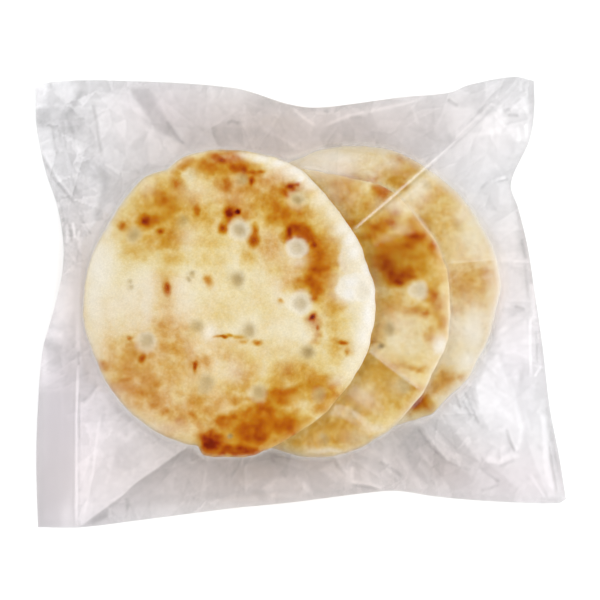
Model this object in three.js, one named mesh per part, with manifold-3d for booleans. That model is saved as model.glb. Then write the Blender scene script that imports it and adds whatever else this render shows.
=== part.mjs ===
import * as THREE from "three";
import { mergeVertices } from "three/addons/utils/BufferGeometryUtils.js";
import Module from "manifold-3d";

// A sealed clear film bag with three round focaccia in it, lying flat with its shown side up.
// Millimetres. +X runs towards the narrow seal, +Y up the shown side, +Z up from the table.

const BREAD_RADIUS = 90;
const BREAD_THICKNESS = 13;
const BREAD_RIM_ROUNDING = 7;
const FILM_GAP = 0.6;

// The stack from the top down. The free left side of a bread hangs down past the one below it.
const BREADS = [
  { x: -42, y: 1.6, level: 2, sag: 15 },
  { x: 3.1, y: -4.6, level: 1, sag: 5 },
  { x: 36.2, y: 9.1, level: 0, sag: 0 },
];
const SAG_START = 15;
const SAG_REACH = 75;

const TOP_LEFT = new THREE.Vector2(-167.1, 136.2);
const TOP_RIGHT = new THREE.Vector2(147, 139.3);
const BOTTOM_LEFT = new THREE.Vector2(-165.3, -141.8);
const BOTTOM_RIGHT = new THREE.Vector2(167.1, -123.6);

// How far each side is drawn in from the straight line between its corners:
// pairs of the share along the side and the pull in, left to right or bottom to top.
const TOP_PULL = [
  [0, 0], [0.03, -2.4], [0.15, -2.6], [0.4, 3.4], [0.51, 14], [0.57, 16.2],
  [0.73, 10.2], [0.83, 7.2], [0.87, 2.4], [0.96, -2.6], [1, 0],
];
const BOTTOM_PULL = [
  [0, 0], [0.08, -0.8], [0.2, 2.1], [0.37, 6.5], [0.48, 8.2], [0.65, 12],
  [0.69, 11.3], [0.75, 7], [0.82, 3.3], [0.91, -0.3], [0.985, -2.2], [1, 0],
];
const LEFT_PULL = [
  [0, 0], [0.15, -0.4], [0.27, 1.1], [0.4, 4.5], [0.5, 12.2], [0.58, 17.3],
  [0.65, 17.8], [0.73, 13.9], [0.81, 6.5], [0.91, 1], [1, 0],
];
const RIGHT_PULL = [
  [0, 0], [0.1, 2.4], [0.22, 6.3], [0.37, 8.2], [0.5, 10.6], [0.61, 12.9],
  [0.7, 16.7], [0.76, 19.9], [0.86, 6], [0.93, 1.4], [1, 0],
];

// The flat welded strips at the two ends. The left one runs out from a straight seam, and the
// right one is a share of the bag's width.
const LEFT_SEAM_X = -139.5;
const RIGHT_SEAL = 0.028;
const SEAL_THICKNESS = 1.2;

// Height of the bag's outer edge over the table.
const CORNER_HEIGHT = 5;
const SIDE_HEIGHT = 11;
const LEFT_SEAL_DROP = 4;

// The main folds in the upper film, from the corners in towards the stack.
const FOLDS = [
  { from: [136, 136], to: [34, 46], height: 3.5, width: 6 },
  { from: [-136, -137], to: [-66, -90], height: 3, width: 7 },
  { from: [-116, 132], to: [-72, 97], height: 2.5, width: 7 },
  { from: [112, -116], to: [64, -70], height: 2.5, width: 7 },
];

const FIRST_COLUMN = 3;
const LAST_COLUMN = 52;
const EDGE_COLUMN = 53;
const ROWS = 44;
const TOP_LIFT = 0.005;
const BASE_PRESS = 0.12;
const PRESSED_DEPTH = 1;
const RELAX_ROUNDS = 600;

function slopeAt(pairs, index) {
  const before = pairs[Math.max(index - 1, 0)];
  const after = pairs[Math.min(index + 1, pairs.length - 1)];
  return (after[1] - before[1]) / (after[0] - before[0]);
}

// A smooth curve through pairs of [place, value].
function curveAt(pairs, place) {
  let index = 0;
  while (index < pairs.length - 2 && place > pairs[index + 1][0]) {
    index += 1;
  }
  const [startPlace, startValue] = pairs[index];
  const [endPlace, endValue] = pairs[index + 1];
  const span = endPlace - startPlace;
  const t = (place - startPlace) / span;
  const t2 = t * t;
  const t3 = t2 * t;
  const startPart = (2 * t3 - 3 * t2 + 1) * startValue + (t3 - 2 * t2 + t) * span * slopeAt(pairs, index);
  const endPart = (3 * t2 - 2 * t3) * endValue + (t3 - t2) * span * slopeAt(pairs, index + 1);
  return startPart + endPart;
}

// A point on one side of the bag. The pull acts to the left of the way from start to end.
function sidePoint(start, end, pull, share) {
  const along = end.clone().sub(start).normalize();
  const inward = new THREE.Vector2(-along.y, along.x);
  return start.clone().lerp(end, share).addScaledVector(inward, pull(share));
}

const bottomSide = (u) => sidePoint(BOTTOM_LEFT, BOTTOM_RIGHT, (s) => curveAt(BOTTOM_PULL, s), u);
const topSide = (u) => sidePoint(TOP_LEFT, TOP_RIGHT, (s) => -curveAt(TOP_PULL, s), u);
const leftSide = (v) => sidePoint(BOTTOM_LEFT, TOP_LEFT, (s) => -curveAt(LEFT_PULL, s), v);
const rightSide = (v) => sidePoint(BOTTOM_RIGHT, TOP_RIGHT, (s) => curveAt(RIGHT_PULL, s), v);

// The plan of the bag: a patch stretched between its four sides.
function planPoint(u, v) {
  const rows = bottomSide(u).multiplyScalar(1 - v).addScaledVector(topSide(u), v);
  const columns = leftSide(v).multiplyScalar(1 - u).addScaledVector(rightSide(v), u);
  const corners = BOTTOM_LEFT.clone().multiplyScalar((1 - u) * (1 - v));
  corners.addScaledVector(BOTTOM_RIGHT, u * (1 - v));
  corners.addScaledVector(TOP_LEFT, (1 - u) * v);
  corners.addScaledVector(TOP_RIGHT, u * v);
  return rows.add(columns).sub(corners);
}

// Share of the bag's width at a column: the left strip, then the pouch, then the right strip.
function columnShare(column, v) {
  const left = leftSide(v).x;
  const seam = (LEFT_SEAM_X - left) / (rightSide(v).x - left);
  if (column <= FIRST_COLUMN) {
    return (seam * column) / FIRST_COLUMN;
  }
  if (column > LAST_COLUMN) {
    return 1;
  }
  const along = (column - FIRST_COLUMN) / (LAST_COLUMN - FIRST_COLUMN);
  return seam + (1 - RIGHT_SEAL - seam) * along;
}

// Height of the closed edge and of the seal strips, lowest at the corners.
function edgeHeight(column, row) {
  const along = Math.sin((Math.PI * row) / ROWS);
  const across = Math.sin((Math.PI * column) / EDGE_COLUMN);
  const height = CORNER_HEIGHT + (SIDE_HEIGHT - CORNER_HEIGHT) * Math.max(along, across);
  const flap = Math.max(0, 1 - column / FIRST_COLUMN);
  return height - LEFT_SEAL_DROP * flap;
}

function sagAt(bread, x) {
  const overhang = Math.max(0, bread.x - SAG_START - x) / SAG_REACH;
  return bread.sag * overhang * overhang;
}

function rimDrop(bread, point) {
  const inside = BREAD_RADIUS - Math.hypot(point.x - bread.x, point.y - bread.y);
  if (inside >= BREAD_RIM_ROUNDING) {
    return 0;
  }
  const reach = 1 - inside / BREAD_RIM_ROUNDING;
  return BREAD_RIM_ROUNDING * (1 - Math.sqrt(1 - reach * reach));
}

function coversPoint(bread, point) {
  return Math.hypot(point.x - bread.x, point.y - bread.y) <= BREAD_RADIUS;
}

function stackTop(point) {
  const covering = BREADS.filter((bread) => coversPoint(bread, point));
  const tops = covering.map((bread) => {
    const top = (bread.level + 1) * BREAD_THICKNESS + FILM_GAP;
    return top - rimDrop(bread, point) - sagAt(bread, point.x);
  });
  return Math.max(-Infinity, ...tops);
}

function stackUnderside(point) {
  const covering = BREADS.filter((bread) => coversPoint(bread, point));
  const undersides = covering.map((bread) => {
    const underside = bread.level * BREAD_THICKNESS - FILM_GAP;
    return underside + rimDrop(bread, point) - sagAt(bread, point.x);
  });
  return Math.min(Infinity, ...undersides);
}

function isFixed(column, row) {
  return row === 0 || row === ROWS || column <= FIRST_COLUMN || column >= LAST_COLUMN;
}

// One value for each point of the film's grid.
function makeGrid(value) {
  return Array.from({ length: EDGE_COLUMN + 1 }, (_, column) => {
    return Array.from({ length: ROWS + 1 }, (_, row) => value(column, row));
  });
}

// Draws a film tight over the stack from the closed edge: each free point settles at the mean
// of its neighbours plus the push, and limit keeps it clear of the breads.
function stretchFilm(edge, push, limit) {
  const heights = makeGrid((column, row) => edgeHeight(column, row) + edge);
  for (let round = 0; round < RELAX_ROUNDS; round += 1) {
    for (let column = FIRST_COLUMN + 1; column < LAST_COLUMN; column += 1) {
      for (let row = 1; row < ROWS; row += 1) {
        const across = heights[column - 1][row] + heights[column + 1][row];
        const upward = heights[column][row - 1] + heights[column][row + 1];
        heights[column][row] = limit(column, row, (across + upward) / 4 + push);
      }
    }
  }
  return heights;
}

function distanceToFold(fold, point) {
  const from = new THREE.Vector3(fold.from[0], fold.from[1], 0);
  const to = new THREE.Vector3(fold.to[0], fold.to[1], 0);
  const place = new THREE.Vector3(point.x, point.y, 0);
  const nearest = new THREE.Line3(from, to).closestPointToPoint(place, true, new THREE.Vector3());
  return nearest.distanceTo(place);
}

function foldHeight(point) {
  return FOLDS.reduce((sum, fold) => {
    const away = distanceToFold(fold, point) / fold.width;
    return sum + fold.height * Math.exp(-away * away);
  }, 0);
}

function filmHeights(plan) {
  const tops = makeGrid((column, row) => stackTop(plan[column][row]));
  const undersides = makeGrid((column, row) => stackUnderside(plan[column][row]));
  const keepAbove = (column, row, height) => Math.max(tops[column][row], height);
  const keepBelow = (column, row, height) => {
    return Math.max(-PRESSED_DEPTH, Math.min(undersides[column][row], height));
  };
  const stretched = stretchFilm(SEAL_THICKNESS / 2, TOP_LIFT, keepAbove);
  const lower = stretchFilm(-SEAL_THICKNESS / 2, -BASE_PRESS, keepBelow);
  const upper = makeGrid((column, row) => {
    const fold = isFixed(column, row) ? 0 : foldHeight(plan[column][row]);
    return stretched[column][row] + fold;
  });
  return { upper, lower };
}

// The closed skin of the bag: upper film, lower film and the narrow wall round the edge.
function bagSkin() {
  const plan = makeGrid((column, row) => planPoint(columnShare(column, row / ROWS), row / ROWS));
  const { upper, lower } = filmHeights(plan);
  const positions = [];
  const point = (film, [column, row]) => {
    const place = plan[column][row];
    return [place.x, place.y, film[column][row]];
  };
  const addTriangle = (a, b, c) => positions.push(...a, ...b, ...c);
  for (let column = 0; column < EDGE_COLUMN; column += 1) {
    for (let row = 0; row < ROWS; row += 1) {
      const near = [column, row];
      const right = [column + 1, row];
      const far = [column + 1, row + 1];
      const left = [column, row + 1];
      addTriangle(point(upper, near), point(upper, right), point(upper, far));
      addTriangle(point(upper, near), point(upper, far), point(upper, left));
      addTriangle(point(lower, near), point(lower, far), point(lower, right));
      addTriangle(point(lower, near), point(lower, left), point(lower, far));
    }
  }
  const addWall = (start, end) => {
    addTriangle(point(lower, start), point(lower, end), point(upper, end));
    addTriangle(point(lower, start), point(upper, end), point(upper, start));
  };
  for (let column = 0; column < EDGE_COLUMN; column += 1) {
    addWall([column, 0], [column + 1, 0]);
    addWall([column + 1, ROWS], [column, ROWS]);
  }
  for (let row = 0; row < ROWS; row += 1) {
    addWall([0, row + 1], [0, row]);
    addWall([EDGE_COLUMN, row], [EDGE_COLUMN, row + 1]);
  }
  const geometry = new THREE.BufferGeometry();
  geometry.setAttribute("position", new THREE.Float32BufferAttribute(positions, 3));
  return mergeVertices(geometry);
}

const wasm = await Module();
wasm.setup();

function toSolid(geometry) {
  return new wasm.Manifold(new wasm.Mesh({
    numProp: 3,
    vertProperties: new Float32Array(geometry.attributes.position.array),
    triVerts: new Uint32Array(geometry.index.array),
  }));
}

function toGeometry(solid) {
  const mesh = solid.getMesh();
  const geometry = new THREE.BufferGeometry();
  geometry.setAttribute("position", new THREE.BufferAttribute(new Float32Array(mesh.vertProperties), 3));
  geometry.setIndex(new THREE.BufferAttribute(new Uint32Array(mesh.triVerts), 1));
  geometry.computeVertexNormals();
  return geometry;
}

// The bag is pressed flat where it lies on the table.
function layFlat(solid) {
  const table = wasm.Manifold.cube([500, 500, 100], true).translate([0, 0, -50]);
  return solid.subtract(table);
}

const bagGeometry = toGeometry(layFlat(toSolid(bagSkin())));
bagGeometry.computeBoundingBox();
const middle = bagGeometry.boundingBox.getCenter(new THREE.Vector3());
bagGeometry.translate(-middle.x, -middle.y, 0);

const film = new THREE.MeshStandardMaterial({ color: 0xe4dcd6, roughness: 0.25 });
film.name = "film";

const bag = new THREE.Mesh(bagGeometry, film);
bag.name = "bag";

const pack = new THREE.Group();
pack.name = "focaccia_pack";
pack.add(bag);

export default pack;
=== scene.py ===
from collections import namedtuple

import bpy
import numpy as np
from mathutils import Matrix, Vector
from mathutils.bvhtree import BVHTree
from mathutils.geometry import delaunay_2d_cdt


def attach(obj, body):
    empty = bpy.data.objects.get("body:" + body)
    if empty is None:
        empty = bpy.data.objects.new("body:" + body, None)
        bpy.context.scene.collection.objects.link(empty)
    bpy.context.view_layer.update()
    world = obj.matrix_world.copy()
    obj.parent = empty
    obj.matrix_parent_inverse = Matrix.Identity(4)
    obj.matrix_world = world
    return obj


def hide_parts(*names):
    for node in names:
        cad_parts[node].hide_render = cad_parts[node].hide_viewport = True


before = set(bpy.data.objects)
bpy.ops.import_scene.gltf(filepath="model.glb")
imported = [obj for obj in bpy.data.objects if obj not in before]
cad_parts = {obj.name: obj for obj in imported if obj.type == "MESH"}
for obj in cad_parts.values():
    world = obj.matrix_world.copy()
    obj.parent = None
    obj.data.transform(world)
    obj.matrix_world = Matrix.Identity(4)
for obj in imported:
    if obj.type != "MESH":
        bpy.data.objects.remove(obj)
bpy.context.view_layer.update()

# A clear sealed film bag with three round focaccia, seen from straight above.
# Sizes are in millimetres until a mesh is made. Places read from the photograph are picture
# columns and rows, and seen_at turns them into places on the object.

MM = 0.001
FULL_TURN = 2 * np.pi

CAMERA_HEIGHT = 1000.0
CAMERA_Y = 1.6
LENS_MM = 95.0
SENSOR_MM = 36.0
PICTURE = 600
FOCAL = LENS_MM / SENSOR_MM * PICTURE


def seen_at(column, row, height):
    """The place that the camera sees at a picture column and row, at this height."""
    scale = (CAMERA_HEIGHT - height) / FOCAL
    x = (np.asarray(column) - PICTURE / 2) * scale
    y = CAMERA_Y + (PICTURE / 2 - np.asarray(row)) * scale
    return x, y


def picture_of(x, y, z):
    """The picture column and row at which the camera sees a place."""
    scale = (CAMERA_HEIGHT - z) / FOCAL
    return PICTURE / 2 + x / scale, PICTURE / 2 - (y - CAMERA_Y) / scale


def smooth_step(value):
    """An even rise from 0 to 1, flat at both ends."""
    value = np.clip(value, 0, 1)
    return value * value * (3 - 2 * value)


def rise(value, start, length):
    """0 up to a start, rising to 1 over this length."""
    return smooth_step((value - start) / length)


def fall(value, end, length):
    """0 from an end on, falling from 1 over this length before it."""
    return smooth_step((end - value) / length)


# Noise

NOISE_CELLS = 256
NOISE_OFFSET = 1000
OCTAVE_SEEDS = 17
OCTAVE_FADE = 1.8
# A layer of noise: how much it adds, the size of its largest patches, what it adds to the seed, and
# how many octaves it has.
Layer = namedtuple("Layer", "amount size seed octaves", defaults=(0, 3))


def noise(x, y, size, seed):
    """Smooth noise from -1 to 1 whose patches are about this size."""
    table = np.random.default_rng(seed).uniform(-1, 1, (NOISE_CELLS, NOISE_CELLS))
    turn = np.random.default_rng(seed + 1).uniform(0, FULL_TURN)
    along = (x * np.cos(turn) + y * np.sin(turn)) / size + NOISE_OFFSET
    across = (y * np.cos(turn) - x * np.sin(turn)) / size + NOISE_OFFSET
    left = np.floor(along).astype(int)
    low = np.floor(across).astype(int)
    u = smooth_step(along - left)
    v = smooth_step(across - low)
    left, right = left % NOISE_CELLS, (left + 1) % NOISE_CELLS
    low, high = low % NOISE_CELLS, (low + 1) % NOISE_CELLS
    bottom = table[left, low] * (1 - u) + table[right, low] * u
    top = table[left, high] * (1 - u) + table[right, high] * u
    return bottom * (1 - v) + top * v


def layered(x, y, layer, seed=0):
    """What a layer of noise adds at each place."""
    total = 0
    for octave in range(layer.octaves):
        octave_seed = seed + layer.seed + OCTAVE_SEEDS * octave
        total = total + noise(x, y, layer.size / 2 ** octave, octave_seed) / OCTAVE_FADE ** octave
    return layer.amount * total


# Meshes


def make_mesh(name, vertices, faces, material, values=()):
    """A smooth-shaded mesh object. vertices are in mm, and values are numbers or colours of each vertex."""
    mesh = bpy.data.meshes.new(name)
    mesh.from_pydata((np.asarray(vertices) * MM).tolist(), [], faces)
    for key, numbers in dict(values).items():
        numbers = np.asarray(numbers, dtype=np.float32)
        kind, field = ("FLOAT", "value") if numbers.ndim == 1 else ("FLOAT_COLOR", "color")
        layer = mesh.attributes.new(key, kind, "POINT")
        layer.data.foreach_set(field, numbers.ravel())
    mesh.shade_smooth()
    mesh.materials.append(material)
    piece = bpy.data.objects.new(name, mesh)
    bpy.context.collection.objects.link(piece)
    return piece


def grid_index(cells):
    """Numbers of the points of a grid with this many cells each way."""
    columns, rows = cells[0] + 1, cells[1] + 1
    return np.arange(columns * rows).reshape(columns, rows)


def grid_faces(cells):
    index = grid_index(cells)
    quads = np.stack([index[:-1, :-1], index[1:, :-1], index[1:, 1:], index[:-1, 1:]], -1)
    return quads.reshape(-1, 4).tolist()


# Patches

# A patch that is painted on a bread or on the film: its column and row, half width and half height, its
# strength, and how pink it is.
Patch = namedtuple("Patch", "column row half_width half_height strength pink", defaults=(0,))
PATCH_FALLOFF = 0.55
SMALL_PATCH = 5.5
SMALL_PATCH_FALLOFF = 0.75


def patches(*rows):
    return tuple(Patch(*row) for row in rows)


def reach_of(column, row, patch):
    """Distance of each place from a patch's middle, in half sizes of the patch."""
    across = (column - patch.column) / patch.half_width
    return np.hypot(across, (row - patch.row) / patch.half_height)


def spread(column, row, patch):
    """How strongly a patch acts at each place: 1 at its middle, falling off past its half sizes."""
    small = min(patch.half_width, patch.half_height) <= SMALL_PATCH
    falloff = SMALL_PATCH_FALLOFF if small else PATCH_FALLOFF
    return np.exp(-falloff * reach_of(column, row, patch) ** 2)


def strength_at(column, row, patch):
    """What a patch adds at each place."""
    return patch.strength * spread(column, row, patch)


# Bread sizes, outlines, dimples and patches

BREAD_THICKNESS = 13.0
STACK_BASE = 0.7
CRUST_TOP = 12.4
RIM_HEIGHT = 5.5
RIM_ROUND_TOP = 9.0
RIM_ROUND_LOW = 5.0

# Outline of each bread: pairs of angle in degrees and radius in pixels about its centre.
FRONT_OUTLINE = (
    (5, 144.4), (-14, 145.3), (-26, 145.8), (-40, 145), (-50, 147.6), (-62, 147.8), (-69, 151),
    (-78, 154.5), (-80.5, 157), (-85.5, 158), (-92, 157), (-97.5, 158), (-101, 156.5), (-102.5, 148),
    (-107, 151), (-122, 151.4), (-138, 150), (-152, 148.5), (-161, 147), (-168, 149), (180, 148),
    (161, 145.8), (153, 144.4), (145, 145), (138, 146), (131, 148.5), (125, 150.5), (120, 147.7),
    (116, 144.8), (110.5, 149.2), (106, 151), (93.5, 150.8), (86.5, 150), (75, 149), (62, 148), (51, 142.6),
    (40, 139.4), (34, 138.6), (26, 140.6), (17, 139.6),
)
MIDDLE_OUTLINE = (
    (27, 147.6), (18, 147.4), (7, 145.2), (-2, 145.4), (-11, 145.8), (-19, 143.7), (-27, 142.6), (-35, 144),
    (-43.5, 145), (-52, 146), (-57, 146.6), (-72, 148.6), (-82, 148.4), (-92, 146), (-102, 143),
    (-130, 145), (180, 147), (135, 146), (100, 144), (80, 138.5), (70, 139.5), (60, 145.5), (52, 147),
    (45, 146), (37, 145),
)
BACK_OUTLINE = (
    (1, 143), (-10, 139.5), (-17.5, 139.5), (-28, 139), (-40, 142), (-49, 141), (-60, 145.5), (-69, 142),
    (-100, 142), (180, 142), (120, 143), (87, 142), (73, 141.4), (59, 138.3), (45, 138), (27, 137.5),
    (13.5, 141),
)

# Dimples: column, row, radius and flouriness of the ring round it, radius and greyness of its
# bottom, and depth in mm.
FRONT_DIMPLES = (
    (297, 248, 11, 0.95, 6.5, 0.55, 2.2), (239, 230, 11.5, 0.65, 6.5, 0.75, 2.0),
    (297, 199, 12, 0.3, 5, 1.0, 2.2), (300, 303, 12.5, 0.7, 6, 0.6, 2.0),
    (146, 342, 10.5, 0.55, 6.5, 0.65, 2.0), (237, 279, 7, 0, 6.5, 0.85, 1.8),
    (308, 353, 7, 0, 6.5, 0.95, 2.0), (133, 235, 9, 0.15, 5.5, 0.7, 1.6), (183, 221, 6, 0, 5.5, 0.5, 1.2),
    (190, 175, 7.5, 0.2, 5, 0.2, 1.2), (241, 180, 7.5, 0.1, 5.5, 0.5, 1.4), (197, 327, 7, 0, 6, 0.6, 1.2),
    (205, 384, 8, 0.1, 7.5, 0.6, 1.4), (257, 392, 9.5, 0.3, 6, 0.7, 1.5),
    (319, 394, 9, 0.12, 5.5, 0.6, 1.6), (249, 330, 7, 0, 6.5, 0.75, 1.4), (230, 436, 4, 0, 2.8, 0.95, 1.8),
    (363, 292, 9, 0.1, 6, 0.15, 1.0), (188, 279, 3, 0, 2.6, 0.6, 0.9), (192, 273, 3, 0, 2.6, 0.6, 0.9),
    (130, 282, 3, 0, 2.4, 0.45, 0.7), (131, 287, 3, 0, 2.4, 0.45, 0.7),
)
MIDDLE_DIMPLES = (
    (418, 291, 10, 0.6, 6, 0.3, 1.8), (388, 330, 7, 0, 6, 0.7, 1.6), (380, 346, 4, 0, 3.2, 0.95, 2.0),
    (403, 386, 8, 0.2, 7, 0.4, 1.3), (352, 412, 8, 0.1, 6, 0.3, 1.3), (322, 440, 7, 0.1, 6, 0.3, 1.2),
)
BACK_DIMPLES = (
    (455, 226, 8, 0.1, 6, 0.12, 1.3), (425, 185, 7, 0.3, 5, 0.3, 1.2), (366, 192, 7, 0.3, 5, 0.3, 1.2),
)

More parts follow.
